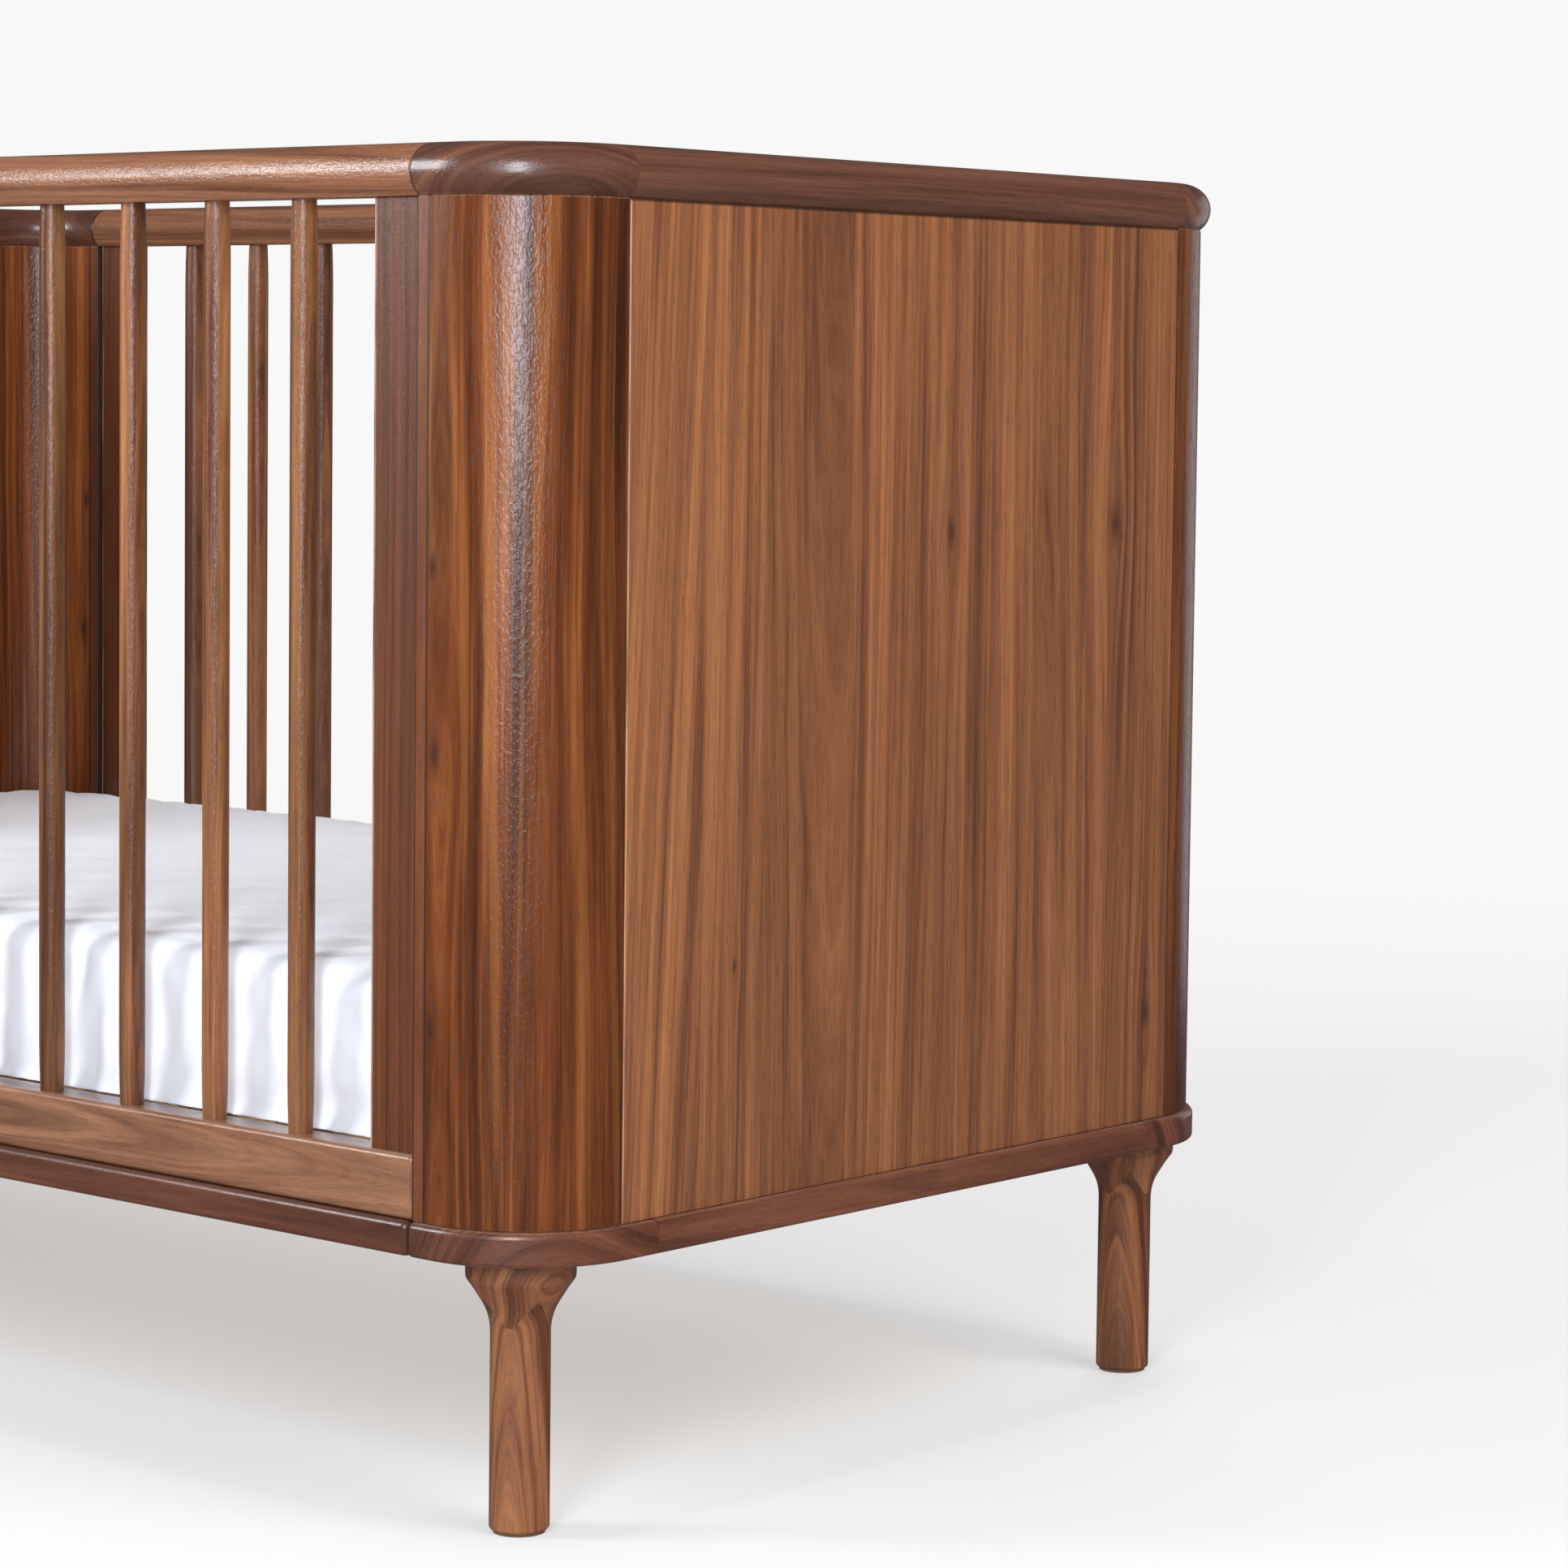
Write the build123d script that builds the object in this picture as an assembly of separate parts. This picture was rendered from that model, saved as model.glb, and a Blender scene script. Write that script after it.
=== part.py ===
from build123d import *
import os

# Baby crib: two solid ends with rounded corners on turned legs, two spindle sides bolted between them,
# a slatted mattress support that hangs on steel brackets, a mattress and its fitted sheet.
# Millimetres. X runs along the crib, Y across it and +Z is up. The origin is on the floor, at the centre.
# Every corner piece is drawn at the front right (+X, -Y) and mirrored to the other corners.

# Walls in plan
END_FACE_X = 690.0  # outer face of the end boards
SIDE_FACE_Y = 378.0  # outer face of the side rails
WALL = 28.0  # thickness of end boards, corner posts and side rails
CORNER_R = 84.0  # outer radius of the corner posts
SEAM_X = 583.0  # joint between a spindle side and an end
STRIP_W = 12.0  # edge strip glued to each corner post

# Levels
BASE_Z = 181.0  # underside of the base boards
BASE_T = 22.5  # thickness of the base boards
BOTTOM_RAIL_H = 42.0
WALL_TOP_Z = 860.0  # underside of the top rails
RAIL_H = 34.0  # height of the top rails

# Top rails: an ellipse cut flat where it sits on the wall, centred over the wall's thickness
RAIL_HALF_W = 21.0
RAIL_SEMI_H = 19.0

# Base boards
BASE_OVERHANG = 5.0
SIDE_BASE_W = 45.0
END_BASE_W = 60.0
BASE_BLOCK_Y = 264.0  # inner end of the corner blocks of the base
BASE_ROUND = 4.5
BASE_END_ROUND = 5.0
BASE_UNDER_ROUND = 3.0
BLOCK_INNER_R = 20.0

# Spindle sides
BOTTOM_RAIL_ROUND = 3.5
STILE_W = 44.0
STILE_T = 18.0
STILE_ROUND = 1.5
SPINDLES = 12
SPINDLE_PITCH = 84.4
SPINDLE_R = 9.0
SPINDLE_NECK_R = 8.2
SPINDLE_NECK_L = 36.0
TENON_R = 6.0
TENON_L = 12.0
STILE_TENON_W = 28.0
STILE_TENON_T = 10.0

# Small arrises and play
EDGE = 0.8
SEAM_ROUND = 1.2
PLAY = 0.05  # radial play of fixings in their holes
DEPTH_PLAY = 0.5  # spare depth at the end of a blind hole

# Legs
LEG_X = 631.0
LEG_Y = 326.0
SHAFT_R = 19.7
FOOT_ROUND = 2.5
FLARE_Z = 131.0  # where the shaft starts to flare
LIP_Z = 168.0  # where the flare turns into the upright lip
LIP_R = 36.0
CORE_HALF = 20.0  # half the width of the square middle block of the leg
LEG_TURN = {"front_right": 25.0, "front_left": 14.0, "rear_right": 0.0, "rear_left": 38.0}
GLIDE_R = 17.0
GLIDE_T = 2.0
STUD_R = 4.0
STUD_L = 48.0
INSERT_R = 6.0
LEG_INSERT_L = 20.0

# Fixings between the sides and the ends
BOLT_R = 3.0
BOLT_HEAD_R = 5.0
BOLT_HEAD_H = 4.0
BOLT_LEVELS = (292.0, 560.0, 812.0)
BOLT_RECESS_R = 6.5
BOLT_RECESS_D = 6.0
SIDE_INSERT_L = 25.0
BOLT_GRIP = 18.0  # length of bolt inside the insert
DOWEL_R = 4.0
DOWEL_L = 40.0
RAIL_DOWEL_RISE = 4.0  # the dowels in the top rails sit this far above the ellipse's centre

# Mattress support
SUPPORT_TOP_Z = 245.0
SUPPORT_UNDER_Z = 207.5
END_BAR_X = 652.0  # outer face of the end bars
END_BAR_W = 28.0
END_BAR_HALF_L = 290.0
LONG_RAIL_W = 30.0
LONG_RAIL_Y = (-240.0, 0.0, 240.0)
SLATS = 12
SLAT_PITCH = 98.0
SLAT_W = 60.0
SLAT_T = 12.0
SLAT_HALF_L = 338.0
SLAT_ROUND = 2.0
SCREW_L = 60.0
SCREW_HEAD_R = 5.0
SCREW_HEAD_H = 4.0

# Support brackets
BRACKET_Y = 200.0
BRACKET_W = 40.0
BRACKET_T = 3.0
BRACKET_UP = 63.5
SHELF_DEPTH = 36.0
PEG_R = 4.0
PEG_L = 14.0
PEG_HOLE_R = 4.5
BRACKET_SCREW_Z = 256.0
BRACKET_SCREW_DY = 12.0
HEIGHT_STEP = 120.0  # distance between the three support heights
HEIGHTS = 3
PANEL_INSERT_R = 5.0
PANEL_INSERT_L = 13.0
PAN_HEAD_R = 5.5
PAN_HEAD_H = 3.3
PAN_GRIP = 10.0

# Mattress and sheet
MATTRESS_HALF_L = 651.0
MATTRESS_HALF_W = 339.0
MATTRESS_T = 110.0
MATTRESS_CORNER_R = 45.0
MATTRESS_EDGE_R = 16.0
SHEET_T = 2.0

# Worked out from the above
CORNER_X = END_FACE_X - CORNER_R
CORNER_Y = SIDE_FACE_Y - CORNER_R
BASE_TOP_Z = BASE_Z + BASE_T
WALL_H = WALL_TOP_Z - BASE_TOP_Z
STRIP_X = SEAM_X + STRIP_W
RAIL_MID_Z = WALL_TOP_Z + RAIL_H - RAIL_SEMI_H
RAIL_DOWEL_Z = RAIL_MID_Z + RAIL_DOWEL_RISE
SIDE_MID_Y = SIDE_FACE_Y - WALL / 2
END_MID_X = END_FACE_X - WALL / 2
PANEL_INNER_X = END_FACE_X - WALL
SPINDLE_BOTTOM_Z = BASE_TOP_Z + BOTTOM_RAIL_H
STILE_INNER_X = SEAM_X - STILE_W
BASE_FACE_X = END_FACE_X + BASE_OVERHANG
BASE_FACE_Y = SIDE_FACE_Y + BASE_OVERHANG

CORNERS = {"front_right": (1, -1), "front_left": (-1, -1), "rear_right": (1, 1), "rear_left": (-1, 1)}
ENDS = {"right": 1, "left": -1}
SIDES = {"front": -1, "rear": 1}


def block(x0, x1, y0, y1, z0, z1):
    """A box between two opposite corners."""
    middle = Pos((x0 + x1) / 2, (y0 + y1) / 2, (z0 + z1) / 2)
    return middle * Box(x1 - x0, y1 - y0, z1 - z0)


def rod_z(x, y, z0, z1, radius):
    return Pos(x, y, (z0 + z1) / 2) * Cylinder(radius, z1 - z0)


def rod_x(x0, x1, y, z, radius):
    return Pos((x0 + x1) / 2, y, z) * Rot(0, 90, 0) * Cylinder(radius, x1 - x0)


def to_corner(piece, sign_x, sign_y):
    """Mirror a front-right piece to the corner with these signs."""
    if sign_x < 0:
        piece = mirror(piece, Plane.YZ)
    if sign_y > 0:
        piece = mirror(piece, Plane.XZ)
    return piece


def upright_edges(piece, x=None, y=None):
    """Upright edges of a piece at the given x or y."""
    edges = piece.edges().filter_by(Axis.Z)
    if x is not None:
        edges = edges.filter_by(lambda e: abs(e.center().X - x) < 0.01)
    if y is not None:
        edges = edges.filter_by(lambda e: abs(e.center().Y - y) < 0.01)
    return edges


def level_edges(piece, z):
    """Edges of a piece that lie wholly at height z."""
    return piece.edges().filter_by(
        lambda e: abs(e.bounding_box().min.Z - z) < 0.01 and abs(e.bounding_box().max.Z - z) < 0.01
    )


def save(name, *pieces):
    """Write one node: a single solid, or a group of separate solids."""
    solids = [solid for piece in pieces for solid in piece.solids()]
    shape = solids[0] if len(solids) == 1 else Compound(children=solids)
    export_step(shape, f"parts/{name}.step")


# Ends -----------------------------------------------------------------------------------------------


def bracket_screw_places():
    """Y and Z of every insert for the bracket screws in one end board."""
    for step in range(HEIGHTS):
        for side in (-1, 1):
            for offset in (-BRACKET_SCREW_DY, BRACKET_SCREW_DY):
                yield side * BRACKET_Y + offset, BRACKET_SCREW_Z + step * HEIGHT_STEP


def end_panel():
    panel = block(PANEL_INNER_X, END_FACE_X, -CORNER_Y, CORNER_Y, BASE_TOP_Z, WALL_TOP_Z)
    panel = chamfer(panel.edges(), EDGE)
    for y, z in bracket_screw_places():
        depth = PANEL_INSERT_L + DEPTH_PLAY
        panel -= rod_x(PANEL_INNER_X - 1, PANEL_INNER_X + depth, y, z, PANEL_INSERT_R + PLAY)
    return panel


def panel_inserts():
    for y, z in bracket_screw_places():
        sleeve = rod_x(PANEL_INNER_X, PANEL_INNER_X + PANEL_INSERT_L, y, z, PANEL_INSERT_R)
        yield sleeve - rod_x(PANEL_INNER_X - 1, END_FACE_X, y, z, BOLT_R + PLAY)


def corner_post():
    inner_r = CORNER_R - WALL
    inner_y = -(SIDE_FACE_Y - WALL)
    outline = [
        Line((STRIP_X, -SIDE_FACE_Y), (CORNER_X, -SIDE_FACE_Y)),
        CenterArc((CORNER_X, -CORNER_Y), CORNER_R, -90, 90),
        Line((END_FACE_X, -CORNER_Y), (PANEL_INNER_X, -CORNER_Y)),
        CenterArc((CORNER_X, -CORNER_Y), inner_r, 0, -90),
        Line((CORNER_X, inner_y), (STRIP_X, inner_y)),
        Line((STRIP_X, inner_y), (STRIP_X, -SIDE_FACE_Y)),
    ]
    post = extrude(Pos(0, 0, BASE_TOP_Z) * make_face(outline), WALL_H)
    post = chamfer(upright_edges(post, y=-CORNER_Y), EDGE)
    post = chamfer(level_edges(post, WALL_TOP_Z) + level_edges(post, BASE_TOP_Z), EDGE)
    for z in BOLT_LEVELS:
        post -= side_insert_hole(z)
    return post - side_dowel_hole(BASE_TOP_Z + BOTTOM_RAIL_H / 2)


def corner_strip():
    strip = block(SEAM_X, STRIP_X, -SIDE_FACE_Y, -SIDE_FACE_Y + WALL, BASE_TOP_Z, WALL_TOP_Z)
    strip = fillet(upright_edges(strip, x=SEAM_X), SEAM_ROUND)
    strip = chamfer(level_edges(strip, WALL_TOP_Z) + level_edges(strip, BASE_TOP_Z), EDGE)
    for z in BOLT_LEVELS:
        strip -= side_insert_hole(z)
    return strip - side_dowel_hole(BASE_TOP_Z + BOTTOM_RAIL_H / 2)


def rail_section(plane):
    """Section of a top rail on a plane whose local y points up and whose origin is the ellipse's centre."""
    cut_z = WALL_TOP_Z - RAIL_MID_Z
    keep_h = 2 * RAIL_SEMI_H
    keep = Pos(0, cut_z + keep_h / 2) * Rectangle(3 * RAIL_HALF_W, keep_h)
    return plane * (Ellipse(RAIL_HALF_W, RAIL_SEMI_H) & keep)


def round_rail_end(rail, x):
    """Ease the outer edge of a top rail where it meets its neighbour at x."""
    end_edges = rail.edges().filter_by(
        lambda e: abs(e.bounding_box().min.X - x) < 0.01 and abs(e.bounding_box().max.X - x) < 0.01
    )
    return fillet(end_edges.sort_by(Edge.length)[-1], SEAM_ROUND)


def top_rail_corner():
    start = Plane(origin=(SEAM_X, -SIDE_MID_Y, RAIL_MID_Z), x_dir=(0, 1, 0), z_dir=(1, 0, 0))
    straight = extrude(rail_section(start), CORNER_X - SEAM_X)
    straight = round_rail_end(straight, SEAM_X)
    bend_start = Plane(origin=(CORNER_X, -SIDE_MID_Y, RAIL_MID_Z), x_dir=(0, 1, 0), z_dir=(1, 0, 0))
    turn_axis = Axis((CORNER_X, -CORNER_Y, 0), (0, 0, 1))
    bend = revolve(rail_section(bend_start), turn_axis, 90)
    return (straight + bend) - side_dowel_hole(RAIL_DOWEL_Z)


def top_rail_end():
    start = Plane(origin=(END_MID_X, -CORNER_Y, RAIL_MID_Z), x_dir=(-1, 0, 0), z_dir=(0, 1, 0))
    return extrude(rail_section(start), 2 * CORNER_Y)


def base_corner():
    outline = [
        Line((SEAM_X, -BASE_FACE_Y), (CORNER_X, -BASE_FACE_Y)),
        CenterArc((CORNER_X, -CORNER_Y), CORNER_R + BASE_OVERHANG, -90, 90),
        Line((BASE_FACE_X, -CORNER_Y), (BASE_FACE_X, -BASE_BLOCK_Y)),
        Line((BASE_FACE_X, -BASE_BLOCK_Y), (SEAM_X, -BASE_BLOCK_Y)),
        Line((SEAM_X, -BASE_BLOCK_Y), (SEAM_X, -BASE_FACE_Y)),
    ]
    corner = extrude(Pos(0, 0, BASE_Z) * make_face(outline), BASE_T)
    corner = fillet(upright_edges(corner, x=SEAM_X).filter_by(lambda e: e.center().Y > -300), BLOCK_INNER_R)
    corner = fillet(upright_edges(corner, x=SEAM_X).filter_by(lambda e: e.center().Y < -380), BASE_END_ROUND)
    for z, radius in ((BASE_TOP_Z, BASE_ROUND), (BASE_Z, BASE_UNDER_ROUND)):
        outer = level_edges(corner, z).filter_by(lambda e: e.center().Y < -BASE_BLOCK_Y - 1)
        outer = outer.filter_by(lambda e: e.center().Y < -CORNER_Y or e.center().X > END_FACE_X)
        corner = fillet(outer.filter_by(lambda e: e.center().X > SEAM_X + 0.5), radius)
    corner -= rod_z(LEG_X, -LEG_Y, BASE_Z - 1, BASE_Z + LEG_INSERT_L + 2 * DEPTH_PLAY, INSERT_R + PLAY)
    return corner - base_dowel_hole()


def base_rail_end():
    rail = block(
        BASE_FACE_X - END_BASE_W, BASE_FACE_X, -BASE_BLOCK_Y, BASE_BLOCK_Y, BASE_Z, BASE_TOP_Z
    )
    for z, radius in ((BASE_TOP_Z, BASE_ROUND), (BASE_Z, BASE_UNDER_ROUND)):
        outer = level_edges(rail, z).filter_by(lambda e: abs(e.center().X - BASE_FACE_X) < 0.01)
        rail = fillet(outer, radius)
    return rail


# Legs -----------------------------------------------------------------------------------------------


def leg_turning():
    """The whole turned shape, centred on the origin."""
    flare_end = (LIP_R - 1.2, LIP_Z - 2.4)
    outline = [
        Line((0, GLIDE_T), (SHAFT_R - FOOT_ROUND, GLIDE_T)),
        RadiusArc((SHAFT_R - FOOT_ROUND, GLIDE_T), (SHAFT_R, GLIDE_T + FOOT_ROUND), -FOOT_ROUND),
        Line((SHAFT_R, GLIDE_T + FOOT_ROUND), (SHAFT_R, FLARE_Z)),
        Spline(
            [(SHAFT_R, FLARE_Z), (23.0, 147.0), (27.6, 155.0), flare_end],
            tangents=[(0, 1), (0.8, 1)],
        ),
        Spline([flare_end, (LIP_R, LIP_Z + 3)], tangents=[(0.8, 1), (0, 1)]),
        Line((LIP_R, LIP_Z + 3), (LIP_R, BASE_Z)),
        Line((LIP_R, BASE_Z), (0, BASE_Z)),
        Line((0, BASE_Z), (0, GLIDE_T)),
    ]
    return revolve(Plane.XZ * make_face(outline), Axis.Z, 360)


def leg_parts(corner):
    """Square core and the four glued cheeks of one leg, turned about its own axis."""
    turning = leg_turning() - rod_z(0, 0, BASE_Z - STUD_L / 2 - 7, BASE_Z + 1, STUD_R + PLAY)
    far = 2 * LIP_R
    core_prism = block(-CORE_HALF, CORE_HALF, -CORE_HALF, CORE_HALF, -1, BASE_Z + 1)
    core = turning & core_prism
    cheeks = []
    for side in (-1, 1):
        low_y, high_y = sorted((side * CORE_HALF, side * far))
        cheeks.append(turning & block(-far, far, low_y, high_y, -1, BASE_Z + 1))
        low_x, high_x = sorted((side * CORE_HALF, side * far))
        cheeks.append(turning & block(low_x, high_x, -CORE_HALF, CORE_HALF, -1, BASE_Z + 1))
    spot = Pos(LEG_X, -LEG_Y, 0) * Rot(0, 0, LEG_TURN[corner])
    return spot * core, [spot * cheek for cheek in cheeks]


def leg_glide():
    return rod_z(LEG_X, -LEG_Y, 0, GLIDE_T, GLIDE_R)


def leg_stud():
    middle = BASE_Z - 6
    return rod_z(LEG_X, -LEG_Y, middle - STUD_L / 2, middle + STUD_L / 2, STUD_R)


def leg_insert():
    low = BASE_Z + DEPTH_PLAY
    sleeve = rod_z(LEG_X, -LEG_Y, low, low + LEG_INSERT_L, INSERT_R)
    return sleeve - rod_z(LEG_X, -LEG_Y, BASE_Z - 1, BASE_TOP_Z + 1, STUD_R + PLAY)


# Sides ----------------------------------------------------------------------------------------------


def spindle_places():
    return [(i - (SPINDLES - 1) / 2) * SPINDLE_PITCH for i in range(SPINDLES)]


def spindle(x):
    low = SPINDLE_BOTTOM_Z
    high = WALL_TOP_Z
    outline = [
        Line((0, low - TENON_L), (TENON_R, low - TENON_L)),
        Line((TENON_R, low - TENON_L), (TENON_R, low)),
        Line((TENON_R, low), (SPINDLE_NECK_R, low)),
        Spline([(SPINDLE_NECK_R, low), (SPINDLE_R, low + SPINDLE_NECK_L)], tangents=[(0.04, 1), (0, 1)]),
        Line((SPINDLE_R, low + SPINDLE_NECK_L), (SPINDLE_R, high - SPINDLE_NECK_L)),
        Spline([(SPINDLE_R, high - SPINDLE_NECK_L), (SPINDLE_NECK_R, high)], tangents=[(0, 1), (-0.04, 1)]),
        Line((SPINDLE_NECK_R, high), (TENON_R, high)),
        Line((TENON_R, high), (TENON_R, high + TENON_L)),
        Line((TENON_R, high + TENON_L), (0, high + TENON_L)),
        Line((0, high + TENON_L), (0, low - TENON_L)),
    ]
    return Pos(x, -SIDE_MID_Y, 0) * revolve(Plane.XZ * make_face(outline), Axis.Z, 360)


def stile_tenon(z0, z1):
    middle_x = SEAM_X - STILE_W / 2
    return block(
        middle_x - STILE_TENON_W / 2, middle_x + STILE_TENON_W / 2,
        -SIDE_MID_Y - STILE_TENON_T / 2, -SIDE_MID_Y + STILE_TENON_T / 2,
        z0, z1,
    )


def side_stile():
    stile = block(
        STILE_INNER_X, SEAM_X,
        -SIDE_MID_Y - STILE_T / 2, -SIDE_MID_Y + STILE_T / 2,
        SPINDLE_BOTTOM_Z, WALL_TOP_Z,
    )
    stile = fillet(stile.edges().filter_by(Axis.Z), STILE_ROUND)
    stile += stile_tenon(SPINDLE_BOTTOM_Z - TENON_L, SPINDLE_BOTTOM_Z)
    stile += stile_tenon(WALL_TOP_Z, WALL_TOP_Z + TENON_L)
    for z in BOLT_LEVELS:
        stile -= rod_x(STILE_INNER_X - 1, STILE_INNER_X + BOLT_RECESS_D, -SIDE_MID_Y, z, BOLT_RECESS_R)
        stile -= rod_x(STILE_INNER_X, SEAM_X + 1, -SIDE_MID_Y, z, BOLT_R + PLAY)
    return stile


def rail_mortises(z0, z1):
    """What is cut out of a side rail for the tenons of its spindles and stiles."""
    cutters = [rod_z(x, -SIDE_MID_Y, z0, z1, TENON_R + PLAY) for x in spindle_places()]
    tenon = stile_tenon(z0, z1)
    return cutters + [tenon, mirror(tenon, Plane.YZ)]


def side_top_rail():
    start = Plane(origin=(-SEAM_X, -SIDE_MID_Y, RAIL_MID_Z), x_dir=(0, 1, 0), z_dir=(1, 0, 0))
    rail = extrude(rail_section(start), 2 * SEAM_X)
    for x in (-SEAM_X, SEAM_X):
        rail = round_rail_end(rail, x)
    for cutter in rail_mortises(WALL_TOP_Z - 1, WALL_TOP_Z + TENON_L + DEPTH_PLAY):
        rail -= cutter
    hole = side_dowel_hole(RAIL_DOWEL_Z)
    return rail - hole - mirror(hole, Plane.YZ)


def side_bottom_rail():
    rail = block(-SEAM_X, SEAM_X, -SIDE_FACE_Y, -SIDE_FACE_Y + WALL, BASE_TOP_Z, SPINDLE_BOTTOM_Z)
    rail = fillet(rail.edges().filter_by(Axis.X), BOTTOM_RAIL_ROUND)
    for face in (rail.faces().sort_by(Axis.X)[0], rail.faces().sort_by(Axis.X)[-1]):
        x = face.center().X
        rail = fillet(rail.edges().filter_by(
            lambda e: abs(e.bounding_box().min.X - x) < 0.01 and abs(e.bounding_box().max.X - x) < 0.01
        ), BOTTOM_RAIL_ROUND - 0.2)
    for cutter in rail_mortises(SPINDLE_BOTTOM_Z - TENON_L - DEPTH_PLAY, SPINDLE_BOTTOM_Z + 1):
        rail -= cutter
    hole = side_dowel_hole(BASE_TOP_Z + BOTTOM_RAIL_H / 2)
    return rail - hole - mirror(hole, Plane.YZ)


def side_base_rail():
    rail = block(-SEAM_X, SEAM_X, -BASE_FACE_Y, -BASE_FACE_Y + SIDE_BASE_W, BASE_Z, BASE_TOP_Z)
    rail = fillet(rail.edges().filter_by(Axis.Z), BASE_END_ROUND)
    rail = fillet(level_edges(rail, BASE_TOP_Z), BASE_ROUND)
    rail = fillet(level_edges(rail, BASE_Z), BASE_UNDER_ROUND)
    hole = base_dowel_hole()
    return rail - hole - mirror(hole, Plane.YZ)


# Fixings --------------------------------------------------------------------------------------------


def side_insert_hole(z):
    return rod_x(SEAM_X - 1, SEAM_X + SIDE_INSERT_L + 2 * DEPTH_PLAY, -SIDE_MID_Y, z, INSERT_R + PLAY)


def side_insert(z):
    start = SEAM_X + DEPTH_PLAY
    sleeve = rod_x(start, start + SIDE_INSERT_L, -SIDE_MID_Y, z, INSERT_R)
    return sleeve - rod_x(SEAM_X - 1, SEAM_X + SIDE_INSERT_L + 2, -SIDE_MID_Y, z, BOLT_R + PLAY)


def side_bolt(z):
    seat = STILE_INNER_X + BOLT_RECESS_D
    head = rod_x(seat - BOLT_HEAD_H, seat, -SIDE_MID_Y, z, BOLT_HEAD_R)
    head -= Pos(seat - BOLT_HEAD_H, -SIDE_MID_Y, z) * Rot(0, 90, 0) * extrude(
        RegularPolygon(2.3, 6), 2.5, both=True
    )
    return head + rod_x(seat, SEAM_X + BOLT_GRIP, -SIDE_MID_Y, z, BOLT_R)


def side_dowel_hole(z):
    half = DOWEL_L / 2 + DEPTH_PLAY
    return rod_x(SEAM_X - half, SEAM_X + half, -SIDE_MID_Y, z, DOWEL_R + PLAY)


def base_dowel_hole():
    half = DOWEL_L / 2 + DEPTH_PLAY
    middle_y = -BASE_FACE_Y + SIDE_BASE_W / 2
    return rod_x(SEAM_X - half, SEAM_X + half, middle_y, BASE_Z + BASE_T / 2, DOWEL_R + PLAY)


def dowels():
    half = DOWEL_L / 2
    for y, z in (
        (-SIDE_MID_Y, BASE_TOP_Z + BOTTOM_RAIL_H / 2),
        (-SIDE_MID_Y, RAIL_DOWEL_Z),
        (-BASE_FACE_Y + SIDE_BASE_W / 2, BASE_Z + BASE_T / 2),
    ):
        yield rod_x(SEAM_X - half, SEAM_X + half, y, z, DOWEL_R)


# Mattress support -----------------------------------------------------------------------------------


def support_screw_z():
    return (SUPPORT_UNDER_Z + SUPPORT_TOP_Z - SLAT_T) / 2


def support_end():
    bar = block(
        END_BAR_X - END_BAR_W, END_BAR_X, -END_BAR_HALF_L, END_BAR_HALF_L, SUPPORT_UNDER_Z, SUPPORT_TOP_Z
    )
    bar = chamfer(bar.edges(), EDGE)
    for side in (-1, 1):
        bar -= rod_z(
            END_BAR_X - END_BAR_W / 2, side * BRACKET_Y,
            SUPPORT_UNDER_Z - 1, SUPPORT_UNDER_Z + PEG_L + 2, PEG_HOLE_R,
        )
    for y in LONG_RAIL_Y:
        z = support_screw_z()
        bar -= rod_x(END_BAR_X - SCREW_HEAD_H, END_BAR_X + 1, y, z, SCREW_HEAD_R + PLAY)
        bar -= rod_x(END_BAR_X - END_BAR_W - 1, END_BAR_X, y, z, BOLT_R + PLAY)
    return bar


def support_rail(y):
    half_l = END_BAR_X - END_BAR_W
    rail = block(
        -half_l, half_l, y - LONG_RAIL_W / 2, y + LONG_RAIL_W / 2, SUPPORT_UNDER_Z, SUPPORT_TOP_Z - SLAT_T
    )
    rail = chamfer(rail.edges().filter_by(Axis.X), EDGE)
    for side in (-1, 1):
        ends = sorted((side * (END_BAR_X - SCREW_L - DEPTH_PLAY), side * (half_l + 1)))
        rail -= rod_x(*ends, y, support_screw_z(), BOLT_R + PLAY)
    return rail


def support_screw(y):
    z = support_screw_z()
    head = rod_x(END_BAR_X - SCREW_HEAD_H, END_BAR_X, y, z, SCREW_HEAD_R)
    return head + rod_x(END_BAR_X - SCREW_L, END_BAR_X - SCREW_HEAD_H, y, z, BOLT_R)


def slat(x):
    board = block(
        x - SLAT_W / 2, x + SLAT_W / 2, -SLAT_HALF_L, SLAT_HALF_L, SUPPORT_TOP_Z - SLAT_T, SUPPORT_TOP_Z
    )
    return fillet(board.edges().filter_by(Axis.Y), SLAT_ROUND)


def bracket():
    low = SUPPORT_UNDER_Z - BRACKET_T
    y0 = -BRACKET_Y - BRACKET_W / 2
    y1 = -BRACKET_Y + BRACKET_W / 2
    plate = block(PANEL_INNER_X - BRACKET_T, PANEL_INNER_X, y0, y1, low, low + BRACKET_UP)
    shelf = block(PANEL_INNER_X - SHELF_DEPTH, PANEL_INNER_X, y0, y1, low, SUPPORT_UNDER_Z)
    peg_x = END_BAR_X - END_BAR_W / 2
    peg = rod_z(peg_x, -BRACKET_Y, low + 1, SUPPORT_UNDER_Z + PEG_L, PEG_R)
    piece = plate + shelf + peg
    for offset in (-BRACKET_SCREW_DY, BRACKET_SCREW_DY):
        y = -BRACKET_Y + offset
        piece -= rod_x(PANEL_INNER_X - BRACKET_T - 1, PANEL_INNER_X + 1, y, BRACKET_SCREW_Z, BOLT_R + PLAY)
    return piece


def bracket_screw(offset):
    y = -BRACKET_Y + offset
    seat = PANEL_INNER_X - BRACKET_T
    head = rod_x(seat - PAN_HEAD_H, seat, y, BRACKET_SCREW_Z, PAN_HEAD_R)
    return head + rod_x(seat, PANEL_INNER_X + PAN_GRIP, y, BRACKET_SCREW_Z, BOLT_R)


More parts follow.
